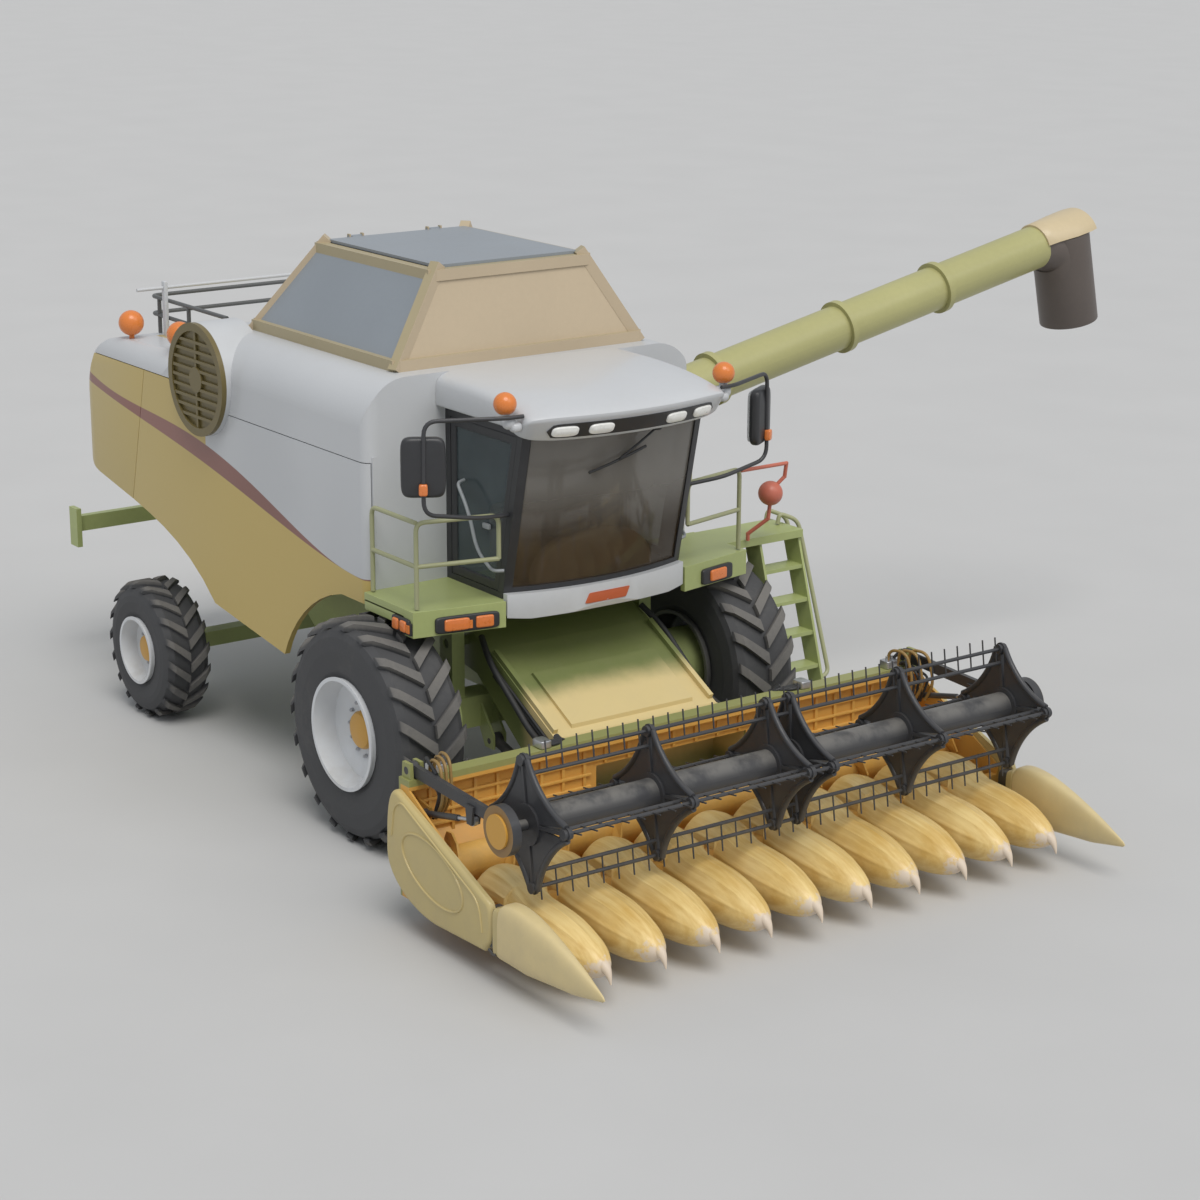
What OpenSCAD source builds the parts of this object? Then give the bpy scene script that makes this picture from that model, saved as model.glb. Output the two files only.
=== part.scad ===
// Combine harvester with a row-crop header, full size, in millimetres, +Z up, +X forward.
// Machine frame: origin on the ground under the drive axle, then moved to the middle of the whole box.

/* [Stance] */
// Distance from the drive axle to the steering axle
wheelbase = 3864; // [3800:1:3950]
// Distance between the middles of the two drive tyres
drive_track = 3320; // [3300:1:3360]
// Distance between the middles of the two steering tyres
steer_track = 3268; // [3240:1:3320]

/* [Wheels] */
// Outer diameter of a drive tyre, over its lugs
drive_tyre_d = 1840; // [1780:1:1860]
// Width of a drive tyre
drive_tyre_w = 634; // [600:1:640]
// Diameter of a drive rim over its flange
drive_rim_d = 926; // [880:1:960]
// Outer diameter of a steering tyre, over its lugs
steer_tyre_d = 1258; // [1200:1:1290]
// Width of a steering tyre
steer_tyre_w = 468; // [430:1:480]
// Diameter of a steering rim over its flange
steer_rim_d = 622; // [600:1:640]
// Tread bars on each half of a drive tyre
drive_bars = 20; // [16:1:22]
// Tread bars on each half of a steering tyre
steer_bars = 18; // [14:1:20]
// Radius of a drive hub's shaft
drive_pin_r = 80; // [60:1:100]
// Radius of a steering stub's shaft
steer_pin_r = 50; // [40:1:56]
// Clearance of a turning shaft in its bore, on the radius
run_fit = 0.05; // [0.02:0.01:0.1]

/* [Body] */
// Width over the body's side panels
body_w = 3220; // [3180:2:3240]
// Distance of the body's front face behind the drive axle
body_setback = 170; // [160:1:200]
// Height of the top around the grain tank
body_top = 3690; // [3650:1:3750]
// Height of the top at the rear of the engine deck
deck_rear_z = 3345; // [3320:1:3380]
// Distance of the hood's rearmost line behind the drive axle
hood_back = 5285; // [5200:1:5400]
// Radius of the rounded shoulders beside the tank
shoulder_r = 380; // [340:1:390]
// Radius of the rounded shoulders beside the engine deck
deck_shoulder_r = 240; // [200:1:260]
// Height of the seam over the front side panels
seam_z = 3030; // [3000:1:3060]
// Thickness of the body's panels
skin = 50; // [40:1:55]
// Width of the open seams between panels
seam_gap = 8; // [4:1:12]
// Half width of the threshing housing
housing_half = 780; // [740:1:800]
// Radius of the round air screen
screen_r = 490; // [440:1:500]

/* [Grain tank] */
// Length of the tank extension at its base
tank_base_l = 2400; // [2300:1:2440]
// Width of the tank extension at its base
tank_base_w = 2500; // [2440:2:2510]
// Length of the tank extension at its top
tank_top_l = 1850; // [1750:1:1950]
// Width of the tank extension at its top
tank_top_w = 1530; // [1450:2:1650]
// Height of the tank extension's top
tank_top_z = 4440; // [4380:1:4500]
// Width of the extension's posts and rails
tank_rail = 90; // [80:1:100]

/* [Cab] */
// Width of the cab
cab_w = 1740; // [1700:2:1760]
// Height of the deck that the cab stands on
deck_z = 2000; // [1980:1:2030]
// Thickness of the deck
deck_t = 70; // [50:1:80]
// Height of the top of the cab's walls
cab_top = 3405; // [3380:1:3430]
// Windscreen foot, in front of the drive axle
screen_foot_x = 780; // [760:1:800]
// Forward lean of the windscreen
screen_lean = 12.3; // [10:0.1:14]
// Radius of the windscreen's bow
screen_bow_r = 2600; // [2300:10:3200]
// Thickness of the cab's walls and doors
cab_wall = 50; // [45:1:60]
// Greatest width of the roof
roof_w = 1920; // [1880:2:1960]
// Furthest front of the roof
roof_front = 1300; // [1260:1:1320]

/* [Platforms] */
// Half width of the platforms beside the cab
platform_half = 1653; // [1640:1:1660]
// Height of the hand rails over the deck
rail_h = 700; // [650:1:760]
// Radius of the hand rail tubes
rail_r = 19; // [16:1:22]
// Outer side of the ladder
ladder_out = 2490; // [2470:1:2540]

/* [Header] */
// Half length of the header between its end sheets
header_half = 2500; // [2490:1:2540]
// Distance of the header's divider tips in front of the drive axle
divider_tip = 4227; // [4150:1:4300]
// Distance of the row snouts' tips in front of the drive axle
snout_tip = 3786; // [3700:1:3850]
// Number of row snouts
snout_n = 10; // [8:1:10]
// Spacing of the row snouts
snout_pitch = 475; // [465:1:478]
// Greatest radius of a snout
snout_r = 200; // [170:1:205]
// Radius of the cross auger over its flights
auger_r = 260; // [240:1:270]
// Radius of the cross auger's tube
auger_tube_r = 150; // [120:1:170]

/* [Reel] */
// Distance of the reel's shaft in front of the drive axle
reel_x = 3050; // [3000:1:3080]
// Height of the reel's shaft
reel_z = 1170; // [1150:1:1200]
// Radius of the reel at its tine bars
reel_r = 460; // [430:1:480]
// Radius of the reel's middle tube
reel_tube_r = 115; // [100:1:130]
// Radius of the reel's shaft
reel_pin_r = 40; // [34:1:46]
// Number of tines on one bar
tine_n = 34; // [24:1:40]

/* [Unloader] */
// Distance of the unloader's pivot behind the drive axle
unloader_back = 850; // [840:1:900]
// Distance of the unloader's pivot outside the body
unloader_out = 290; // [270:1:350]
// Length of the unloader's tube
unloader_l = 4490; // [4300:10:4600]
// Radius of the unloader's tube
unloader_r = 205; // [180:1:210]
// Rise of the unloader's tube
unloader_rise = 12; // [10:0.5:13]

/* [Hidden] */
$fn = 72;
eye_gap = 0.3;
drive_r = drive_tyre_d / 2;
steer_r = steer_tyre_d / 2;
drive_y = drive_track / 2;
steer_y = steer_track / 2;
body_half = body_w / 2;
front_x = -body_setback;
axle_x = -wheelbase;
axle_beam_half = 1050;
axle_top = drive_r + 130;
chassis_top = axle_top + 150;
rail_in = 490;
rail_out = 610;
housing_top = 2600;
housing_front = front_x - 60;
housing_back = -4500;
tank_front = front_x - 165;
tank_back = tank_front - tank_base_l;
tank_mid_x = (tank_front + tank_back) / 2 + 130;
cab_half = cab_w / 2;
cab_back = front_x + eye_gap;
deck_low = deck_z - deck_t;
king_y = steer_y - 364;
beam_back = 5980;
pivot_z = 1500;
header_back = 1690;
snout_back = 2800;
hood_rear = 2420;
hood_low_z = 480 + eye_gap;
auger_x = 2120;
auger_z = 560;
end_panel_t = 70;
arm_pivot_x = 1760;
arm_pivot_z = 1230;
arm_y = 2420;
reel_end_y = 2290;
plate_t = 16;
boss_r = 50;
unloader_x = -unloader_back;
unloader_y = body_half + unloader_out;
ring_z = 2740;
elbow_z = 3050;
spout_reach = 330;
spout_r = 285;
spout_rise = 235;
spout_drop = 850;
unloader_tip = unloader_y + (unloader_l + spout_reach + spout_r) * cos(unloader_rise) + spout_drop * sin(unloader_rise);
shift_x = (beam_back - divider_tip) / 2;
shift_y = (header_half + end_panel_t - unloader_tip) / 2;

white = [0.93, 0.91, 0.85];
tan_paint = [0.78, 0.62, 0.30];
green = [0.42, 0.46, 0.30];
beige = [0.80, 0.74, 0.56];
grey = [0.55, 0.58, 0.60];
dark = [0.10, 0.11, 0.12];
rubber = [0.07, 0.07, 0.08];
glass = [0.25, 0.35, 0.40, 0.5];
steel = [0.60, 0.62, 0.64];
amber = [0.95, 0.45, 0.08];
red = [0.70, 0.12, 0.08];
yellow = [0.88, 0.68, 0.16];
orange = [0.85, 0.40, 0.12];
brass = [0.62, 0.50, 0.22];

// Moves a piece from the machine frame to the shared frame.
module placed() {
    translate([shift_x, shift_y, 0]) children();
}

// Extrudes an outline of x and z across the machine, centred.
module across(w) {
    rotate([90, 0, 0]) linear_extrude(w, center = true) children();
}

// Extrudes an outline of y and z forward.
module along(l) {
    rotate([90, 0, 90]) linear_extrude(l) children();
}

// Turns an outline of radius and y around the wheel axis.
module turned() {
    rotate([-90, 0, 0]) rotate_extrude() children();
}

module both_sides() {
    children();
    mirror([0, 1, 0]) children();
}

// A cylinder across the machine, centred on y.
module cross_pin(r, w) {
    rotate([90, 0, 0]) cylinder(r = r, h = w, center = true);
}

// A box given by two opposite corners.
module box(a, b) {
    translate(a) cube(b - a);
}

// Turns +Z to the direction from a to b, at a.
module aimed(a, b) {
    d = b - a;
    translate(a) rotate([0, acos(d.z / norm(d)), atan2(d.y, d.x)]) children();
}

// A straight tube of eight flats from a to b, a little longer so that corners meet.
module tube(a, b, r) {
    aimed(a, b) translate([0, 0, -r / 2]) cylinder(r = r, h = norm(b - a) + r, $fn = 8);
}

module tubes(points, r) {
    for (k = [0:len(points) - 2]) tube(points[k], points[k + 1], r);
}

// A straight bar of rectangular section from a to b.
module bar(a, b, w, h) {
    aimed(a, b) translate([-w / 2, -h / 2, 0]) cube([w, h, norm(b - a)]);
}

function bezier(a, b, c, d, n = 8) = [for (k = [0:n]) let (t = k / n)
    pow(1 - t, 3) * a + 3 * pow(1 - t, 2) * t * b + 3 * (1 - t) * t * t * c + pow(t, 3) * d];

function arc(c, r, from, to, n = 10) = [for (k = [0:n]) let (a = from + (to - from) * k / n)
    c + r * [cos(a), sin(a)]];

// Side outline of the body's rear, shifted inwards by an inset.
deck_front = [-3350, deck_rear_z + 50];
deck_rear_x = -4700;
deck_crown = 6;
slope_foot = [-3680, 3160];
function deck_top(x) = deck_rear_z + (x - deck_rear_x) * (deck_front.y - deck_rear_z) / (deck_front.x - deck_rear_x);
hood_low = [-5000, 2045];
function rear_curve(i) = [for (p = concat(
    bezier([deck_rear_x, deck_rear_z - i], [-5010, deck_rear_z - 30 - i], [-5190, 2900], [-hood_back, 2444]),
    bezier([-hood_back, 2444], [-hood_back - 25, 2250], [-5200, 2090], hood_low))) p + [i, 0]];

// Lower edge of the body, from the hood to the arch over the drive tyre.
arch_z = drive_tyre_d + 36;
mid_hem = [-2790, 1284];
function rear_hem() = bezier(hood_low, [-4000, 1860], [-3350, 1780], mid_hem);
function front_hem() = concat(bezier([-1568, 1125], [-1440, 1420], [-1100, 1770], [-600, arch_z]), [[front_x, arch_z]]);

// Cross outline with rounded shoulders under a given top.
module body_cross(i, top, r) {
    half = body_half - i;
    y_c = body_half - r;
    translate([-half, 0]) square([2 * half, top - r]);
    translate([-y_c, 0]) square([2 * y_c, top - i]);
    for (s = [-1, 1]) translate([s * y_c, top - r]) circle(r = r - i);
}

// The tank's part and the engine's part of the body, from a lower outline given as points.
module body_parts(i, low_front, low_rear) {
    intersection() {
        across(body_w + 100) polygon(concat([[front_x - i, body_top - i], [tank_back, body_top - i],
            deck_front - [0, i], slope_foot - [0, i]], low_front));
        translate([-hood_back - 500, 0, 0]) along(hood_back + 500) body_cross(i, body_top, shoulder_r);
    }
    intersection() {
        across(body_w + 100) polygon(concat([deck_front + [400, -200 - i], deck_front - [0, i]], rear_curve(i), low_rear));
        translate([-hood_back - 500, 0, 0]) along(hood_back + 500)
            body_cross(i, deck_front.y + deck_crown, deck_shoulder_r);
    }
}

module body_plan(i) {
    r_f = 110;
    r_b = 320;
    half = body_half - i;
    back = -hood_back - 100 + i;
    translate([back + r_b, -half]) square([-back - r_b + front_x - i - r_f, 2 * half]);
    translate([back, -half + r_b]) square([-back + front_x - i, 2 * half - 2 * r_b]);
    translate([front_x - 900, -half + r_f]) square([900 - i, 2 * half - 2 * r_f]);
    for (s = [-1, 1]) {
        translate([back + r_b, s * (half - r_b)]) circle(r = r_b);
        translate([front_x - i - r_f, s * (half - r_f)]) circle(r = r_f);
    }
}

// The whole outside of the body.
module body_outside() {
    intersection() {
        body_parts(0, [[-3680, 900], [front_x, 900]], [[-5000, 900], [deck_front.x + 400, 900]]);
        across(body_w + 100) polygon(concat([[front_x, 5000], [-6000, 5000], [-6000, 2044]], rear_hem(), front_hem()));
        translate([0, 0, 900]) linear_extrude(body_top) body_plan(0);
    }
}

// The room inside the body's panels, open below.
module body_inside() {
    intersection() {
        body_parts(skin, [[-3680, 0], [front_x - skin, 0]], [[hood_low.x + skin, 0], [deck_front.x + 400, 0]]);
        translate([0, 0, -10]) linear_extrude(body_top + 100) body_plan(skin);
    }
}

screen_in = body_half - shoulder_r + 32;
screen_proud = 90;
screen_x = -2845;
screen_z = 3276;
rear_seam_z = 3170;
hood_seam_top = [-3990, rear_seam_z];
hood_seam_low = [-4340, 1850];

module screen_hole() {
    translate([screen_x, -body_half, screen_z]) cross_pin(screen_r + eye_gap, 2 * (body_half - screen_in));
}

// Outline of the body above its side seams, moved up by half a gap.
module above_seam() {
    g = seam_gap / 2;
    across(body_w + 200) polygon([[front_x + 10, seam_z + g], [screen_x, seam_z + g], [screen_x, rear_seam_z + g],
        [-hood_back - 200, rear_seam_z + g], [-hood_back - 200, body_top + 50], [front_x + 10, body_top + 50]]);
}

// Outline of a side panel between the front edge, the seams and the hood.
module side_region() {
    g = seam_gap / 2;
    across(body_w + 200) polygon([[front_x + 10, 900], [front_x + 10, seam_z - g], [screen_x, seam_z - g],
        [screen_x, rear_seam_z - g], hood_seam_top + [g, -g], hood_seam_low + [g, 0], [hood_seam_low.x - 40, 900]]);
}

module hood_region() {
    g = seam_gap / 2;
    across(body_w + 200) polygon([hood_seam_top + [-g, -g], hood_seam_low + [-g, 0], [hood_seam_low.x - 40 - g, 900],
        [-hood_back - 200, 900], [-hood_back - 200, rear_seam_z - g]]);
}

module upper_shell() color(white) placed() {
    difference() {
        union() {
            difference() {
                intersection() {
                    body_outside();
                    above_seam();
                }
                body_inside();
            }
            box([front_x - skin, -body_half + skin + 8, deck_z - 60],
                [front_x, body_half - skin - 8, seam_z + skin]);
        }
        box([tank_back + 62, -tank_base_w / 2 + 62, body_top - 2 * skin],
            [tank_front - 62, tank_base_w / 2 - 62, body_top + 10]);
        screen_hole();
    }
}

module side_panel(s) {
    difference() {
        intersection() {
            body_outside();
            side_region();
            translate([-hood_back, s > 0 ? body_half - skin : -body_half, 0]) cube([hood_back, skin, body_top]);
        }
        screen_hole();
        translate([unloader_x, 0, base_tube_z]) rotate([-90, 0, 0]) cylinder(r = unloader_r + eye_gap, h = body_half + 10);
    }
}

module side_panel_right() color(tan_paint) placed() side_panel(-1);

module side_panel_left() color(tan_paint) placed() side_panel(1);

module rear_hood() color(tan_paint) placed() {
    difference() {
        intersection() {
            body_outside();
            hood_region();
        }
        body_inside();
    }
}

module air_screen() color(brass) placed() {
    l = body_half + screen_proud - screen_in;
    translate([screen_x, -screen_in - l / 2, screen_z]) difference() {
        cross_pin(screen_r, l);
        translate([0, -l / 2, 0]) cross_pin(screen_r - 70, 60);
    }
    translate([screen_x, -body_half - screen_proud, screen_z]) {
        for (z = [-324:81:324]) {
            half = sqrt(pow(screen_r - 70, 2) - z * z) + 4;
            box([-half, 6, z - 13], [half, 32, z + 13]);
        }
        translate([0, 16, 0]) cross_pin(110, 24);
        box([-16, 10, -screen_r + 66], [16, 28, screen_r - 66]);
    }
}

module chassis_frame() color(green) placed() {
    both_sides() box([housing_back, rail_in, axle_top], [130, rail_out, chassis_top]);
    for (x = [-620, axle_x, housing_back + 60])
        box([x - 60, -rail_in - 5, axle_top], [x + 60, rail_in + 5, axle_top + 110]);
    box([axle_x - 90, -150, steer_r + 70], [axle_x + 90, 150, axle_top + 50]);
    both_sides() intersection() {
        bar([housing_back + 60, rail_in + 60, axle_top + 70], [-beam_back, rail_in + 60, 1345], 110, 90);
        box([-beam_back + 100, 0, 0], [0, 2000, 3000]);
    }
}

module drive_axle() color(green) placed() {
    difference() {
        union() {
            box([-130, -axle_beam_half, drive_r - 130], [130, axle_beam_half, axle_top]);
            both_sides() {
                translate([0, axle_beam_half - 10, drive_r]) rotate([-90, 0, 0]) {
                    cylinder(r = 300, h = drive_y - 80 - axle_beam_half);
                    cylinder(r = drive_pin_r, h = drive_y + 65 - axle_beam_half);
                }
                box([-90, 880, axle_top - 10], [90, 1000, deck_low]);
                for (y = [lift_y - 55, lift_y + 55]) translate([0, y, 0]) lift_cheek();
            }
        }
        cross_pin_at([0, 0, pivot_z], feeder_pin_r + run_fit, 2 * 1010);
        both_sides() cross_pin_at([lift_a.x, lift_y, lift_a.y], lift_pin_r + run_fit, 200);
    }
}

module cross_pin_at(p, r, w) {
    translate(p) cross_pin(r, w);
}

feeder_pin_r = 40;
lift_y = 690;
lift_a = [250, 690];
lift_b = [1050, 480];
lift_pin_r = 25;
base_tube_z = 2450;

module lift_cheek() {
    across(20) polygon([[100, drive_r], [100, drive_r - 120], [lift_a.x - 60, lift_a.y - 60], [lift_a.x + 60, lift_a.y - 60],
        [lift_a.x + 60, lift_a.y + 60], [131, drive_r + 60]]);
}

module thresher_housing() color(green) placed() {
    across(2 * housing_half) polygon([[housing_front, chassis_top], [housing_front, housing_top],
        [housing_back + 200, housing_top], [housing_back, 2300], [housing_back, 1800], [-3500, chassis_top]]);
    across(2 * rail_in - 40) polygon([[-1200, chassis_top + 5], [-1200, 900], [-1500, 780], [-3000, 780],
        [-3300, 1000], [-3300, chassis_top + 5]]);
    both_sides() {
        for (p = [[-1400, 2400], [-2200, 1700], [-3400, 2300], [-4430, 2080]])
            box([p.x - 30, housing_half - 5, p.y - 30], [p.x + 30, body_half - skin, p.y + 30]);
    }
}

module engine_block() color(dark) placed() {
    box([-4250, -550, housing_top], [-3000, 550, deck_rear_z - skin - 60]);
}

tank_wall = 25;
function tank_cross(i) = let (h = body_half - shoulder_r - i, z = housing_top + i)
    [[-h, body_top], [h, body_top], [h, 3130 + i], [510 - i / 2, z], [-510 + i / 2, z], [-h, 3130 + i]];

module grain_tank() color(grey) placed() {
    difference() {
        translate([tank_back + 20, 0, 0]) along(tank_base_l + 75) polygon(tank_cross(0));
        translate([tank_back + 20 + tank_wall, 0, 0]) along(tank_base_l + 75 - 2 * tank_wall) polygon(tank_cross(tank_wall));
        box([-5000, -2000, body_top - skin], [1000, 2000, body_top + 100]);
    }
}

// Corner of the tank extension, k from 0 at its base to 1 at its top.
function tank_corner(fx, sy, k, i = 0) = [
    (fx > 0 ? tank_front : tank_back) * (1 - k) + (tank_mid_x + fx * tank_top_l / 2) * k - fx * i,
    sy * (tank_base_w / 2 * (1 - k) + tank_top_w / 2 * k - i),
    body_top * (1 - k) + tank_top_z * k];

// The tank extension as one block, drawn in by an inset.
module tank_block(i, low = 0, top = 0) {
    k_l = -low / (tank_top_z - body_top);
    k_t = 1 + top / (tank_top_z - body_top);
    p = [for (k = [k_l, k_t]) for (c = [[1, 1], [-1, 1], [-1, -1], [1, -1]]) tank_corner(c[0], c[1], k, i)];
    polyhedron(p, [[0, 1, 2, 3], [7, 6, 5, 4], [0, 4, 5, 1], [1, 5, 6, 2], [2, 6, 7, 3], [3, 7, 4, 0]]);
}

module tank_posts(more = 0) {
    r = tank_rail / 2;
    for (fx = [-1, 1]) for (sy = [-1, 1])
        bar(tank_corner(fx, sy, 0, r), tank_corner(fx, sy, 1.06, r), tank_rail + more, tank_rail + more);
}

module tank_frame() color(beige) placed() {
    intersection() {
        union() {
            tank_posts();
            for (sy = [-1, 1]) {
                bar(tank_corner(1, sy, 0.06, 40), tank_corner(-1, sy, 0.06, 40), tank_rail, tank_rail);
                bar(tank_corner(1, sy, 0.95, 40), tank_corner(-1, sy, 0.95, 40), tank_rail, tank_rail);
            }
            for (fx = [-1, 1]) {
                bar(tank_corner(fx, 1, 0.06, 40), tank_corner(fx, -1, 0.06, 40), tank_rail, tank_rail);
                bar(tank_corner(fx, 1, 0.95, 40), tank_corner(fx, -1, 0.95, 40), tank_rail, tank_rail);
            }
        }
        box([-6000, -3000, body_top], [1000, 3000, 6000]);
    }
    lid_lugs();
}

panel_low = body_top + 85;
panel_top = tank_top_z - 75;

// Thin sloping walls between the posts and rails.
module tank_shell_wall() {
    difference() {
        tank_block(20, 0, -2);
        tank_block(40, 20, 20);
        tank_frame_raw();
        box([-6000, -3000, 0], [1000, 3000, panel_low]);
        box([-6000, -3000, panel_top], [1000, 3000, 6000]);
    }
}

module tank_frame_raw() {
    translate([-shift_x, -shift_y, 0]) tank_frame();
}

// Room of the front and rear walls of the extension.
module tank_end_room() {
    for (fx = [-1, 1]) across(4000)
        polygon([for (q = [[0, 0], [1, 0], [1, 60], [0, 60]]) let (c = tank_corner(fx, 1, q[0], q[1])) [c.x, c.z]]);
}

module tank_side_panels() color(grey) placed() {
    difference() {
        tank_shell_wall();
        tank_end_room();
    }
}

module tank_end_panels() color(beige) placed() {
    intersection() {
        tank_shell_wall();
        tank_end_room();
    }
}

lid_gap = 7;
lid_half_l = tank_top_l / 2 - 70;
lid_half_w = tank_top_w / 2 - 75;
lid_z = 0.05 * body_top + 0.95 * tank_top_z + tank_rail / 2 + eye_gap;
lid_t = 25;
lid_pin_r = 12;
lid_pin = [tank_mid_x - lid_half_l - 40, lid_z + 22];
lid_lug_y = [330, 460];

module tank_lid() color(grey) placed() {
    difference() {
        box([tank_mid_x - lid_half_l, -lid_half_w, lid_z], [tank_mid_x + lid_half_l, lid_half_w, lid_z + lid_t]);
        tank_posts(2 * lid_gap);
    }
    both_sides() {
        cross_pin_at([lid_pin.x, (lid_lug_y[0] + lid_lug_y[1]) / 2, lid_pin.y], lid_pin_r, lid_lug_y[1] - lid_lug_y[0] + 20);
        box([lid_pin.x, lid_lug_y[0] + 20, lid_z + 12], [tank_mid_x - lid_half_l + 5, lid_lug_y[1] - 20, lid_z + lid_t]);
    }
}

// Lugs that carry the lid's hinge pins on the rear rail.
module lid_lugs() {
    both_sides() for (y = lid_lug_y) difference() {
        translate([0, y, 0]) across(16) polygon([[lid_pin.x - 30, lid_z - 20], [lid_pin.x + 25, lid_z - 20],
            [lid_pin.x + 18, lid_pin.y + 22], [lid_pin.x - 18, lid_pin.y + 22]]);
        cross_pin_at([lid_pin.x, y, lid_pin.y], lid_pin_r + run_fit, 60);
    }
}

module straw_chopper() color(dark) placed() {
    across(1480) polygon([[housing_back, 2040], [housing_back, 1810], [-4620, 1500], [-5020, 1440], [-5080, 1560], [-4900, 2040]]);
}

module steer_axle() color(green) placed() {
    difference() {
        union() {
            box([axle_x - 80, -king_y + 70, steer_r - 70], [axle_x + 80, king_y - 70, steer_r + 70]);
            both_sides() translate([axle_x, king_y, steer_r - 70]) cylinder(r = 78, h = 140);
        }
        both_sides() translate([axle_x, king_y, 0]) cylinder(r = king_r + run_fit, h = 2000);
    }
}

king_r = 36;

module knuckle(s) {
    mirror([0, s > 0 ? 0 : 1, 0]) translate([axle_x, king_y, steer_r]) {
        translate([0, 0, -126]) cylinder(r = king_r, h = 252);
        for (z = [-126, 76]) translate([-70, -70, z]) cube([140, 190, 50]);
        translate([-70, 84, -126]) cube([140, 36, 252]);
        translate([0, 110, 0]) rotate([-90, 0, 0]) cylinder(r = steer_pin_r, h = 284);
        translate([-290, -40, -126]) cube([240, 80, 44]);
        translate([-250, 0, -90]) cylinder(r = 15, h = 54);
    }
}

module knuckle_left() color(green) placed() knuckle(1);

module knuckle_right() color(green) placed() knuckle(-1);

module tie_rod() color(steel) placed() {
    y = king_y;
    difference() {
        union() {
            cross_pin_at([axle_x - 250, 0, steer_r - 57], 18, 2 * y - 40);
            both_sides() translate([axle_x - 250, y, steer_r - 76]) cylinder(r = 36, h = 38);
        }
        translate([axle_x - 250, y, 0]) cylinder(r = 15 + run_fit, h = 2000);
        translate([axle_x - 250, -y, 0]) cylinder(r = 17, h = 2000);
    }
}

// Tyre outline from bead to crown, as radius and half width.
function tyre_half(r_in, r_out, w) = [[r_in, w / 2 - 24], [r_in + 50, w / 2 - 8], [(r_in + r_out) / 2, w / 2],
    [r_out - 90, w / 2 - 6], [r_out - 34, w / 2 - 26], [r_out, w / 2 - 80]];

module tyre_round(r_in, r_out, w) {
    half = tyre_half(r_in, r_out, w);
    turned() polygon(concat(half, [for (k = [len(half) - 1:-1:0]) [half[k][0], -half[k][1]]]));
}

// Slanted tread bars, left and right by turns, that lead at the crown.
module tread_bars(r_out, w, depth, n) {
    half = w / 2;
    lean = 0.86 * half;
    thick = 0.36 * 2 * PI * r_out / n;
    for (k = [0:n - 1], s = [-1, 1])
        rotate([0, 360 * (k + (s > 0 ? 0.5 : 0)) / n, 0]) translate([r_out - depth - 25, 0, 0])
            rotate([0, 90, 0]) linear_extrude(depth + 60)
                polygon([[lean / 2, s * 4], [lean / 2 - thick, s * 4], [-lean / 2 - 0.8 * thick, s * half], [-lean / 2, s * half]]);
}

module tyre(r_in, r_out, w, depth, n) {
    tyre_round(r_in, r_out - depth, w - 16);
    intersection() {
        tyre_round(r_in, r_out, w);
        tread_bars(r_out, w, depth, n);
    }
}

module drive_rim() {
    w = drive_tyre_w / 2 + 20;
    r = drive_rim_d / 2;
    b = r - 13;
    turned() polygon([[r, -w], [r, -w + 14], [b, -w + 14], [b, w - 14], [r, w - 14], [r, w], [b - 18, w], [b - 48, 150],
        [170, 90], [170, 120], [135, 120], [115, 145], [0, 145], [0, 60], [drive_pin_r + run_fit, 60],
        [drive_pin_r + run_fit, -64], [170, -64], [170, 60], [b - 60, 118], [b - 18, 118], [b - 18, -w]]);
}

module steer_rim() {
    w = steer_tyre_w / 2 + 14;
    r = steer_rim_d / 2;
    b = r - 12;
    turned() polygon([[r, -w], [r, -w + 12], [b, -w + 12], [b, w - 12], [r, w - 12], [r, w], [b - 16, w], [b - 40, 100],
        [120, 60], [120, 80], [95, 80], [80, 98], [0, 98], [0, 40], [steer_pin_r + run_fit, 40],
        [steer_pin_r + run_fit, -150], [100, -150], [100, 30], [b - 50, 74], [b - 16, 74], [b - 16, -w]]);
}

module drive_wheel(s) {
    mirror([0, s > 0 ? 0 : 1, 0]) translate([0, drive_y, drive_r]) children();
}

module steer_wheel(s) {
    mirror([0, s > 0 ? 0 : 1, 0]) translate([axle_x, steer_y, steer_r]) children();
}

module drive_tyre() {
    tyre(drive_rim_d / 2 - 13 + eye_gap, drive_r, drive_tyre_w, 52, drive_bars);
}

module steer_tyre() {
    tyre(steer_rim_d / 2 - 12 + eye_gap, steer_r, steer_tyre_w, 40, steer_bars);
}

module drive_tyre_left() color(rubber) placed() drive_wheel(1) drive_tyre();
module drive_tyre_right() color(rubber) placed() drive_wheel(-1) drive_tyre();
module drive_rim_left() color(white) placed() drive_wheel(1) drive_rim();
module drive_rim_right() color(white) placed() drive_wheel(-1) drive_rim();
module steer_tyre_left() color(rubber) placed() steer_wheel(1) steer_tyre();
module steer_tyre_right() color(rubber) placed() steer_wheel(-1) steer_tyre();
module steer_rim_left() color(white) placed() steer_wheel(1) steer_rim();
module steer_rim_right() color(white) placed() steer_wheel(-1) steer_rim();

hitch_r = 16;

module rear_beam() color(green) placed() {
    x = -beam_back;
    difference() {
        union() {
            box([x + 20, 60, 1250], [x + 100, 1440, 1400]);
            box([x + 20, -1440, 1250], [x + 100, -60, 1400]);
            both_sides() box([x, 1440, 1110], [x + 160, 1490, 1490]);
            box([x + 90, -70, 1200], [x + 220, 70, 1420]);
            for (z = [1290, 1370]) box([x, -60, z - 15], [x + 100, 60, z + 15]);
        }
        translate([x + 42, 0, 1000]) cylinder(r = hitch_r, h = 1000);
        box([x + 1, -62, 1305], [x + 89, 62, 1355]);
    }
}

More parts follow.
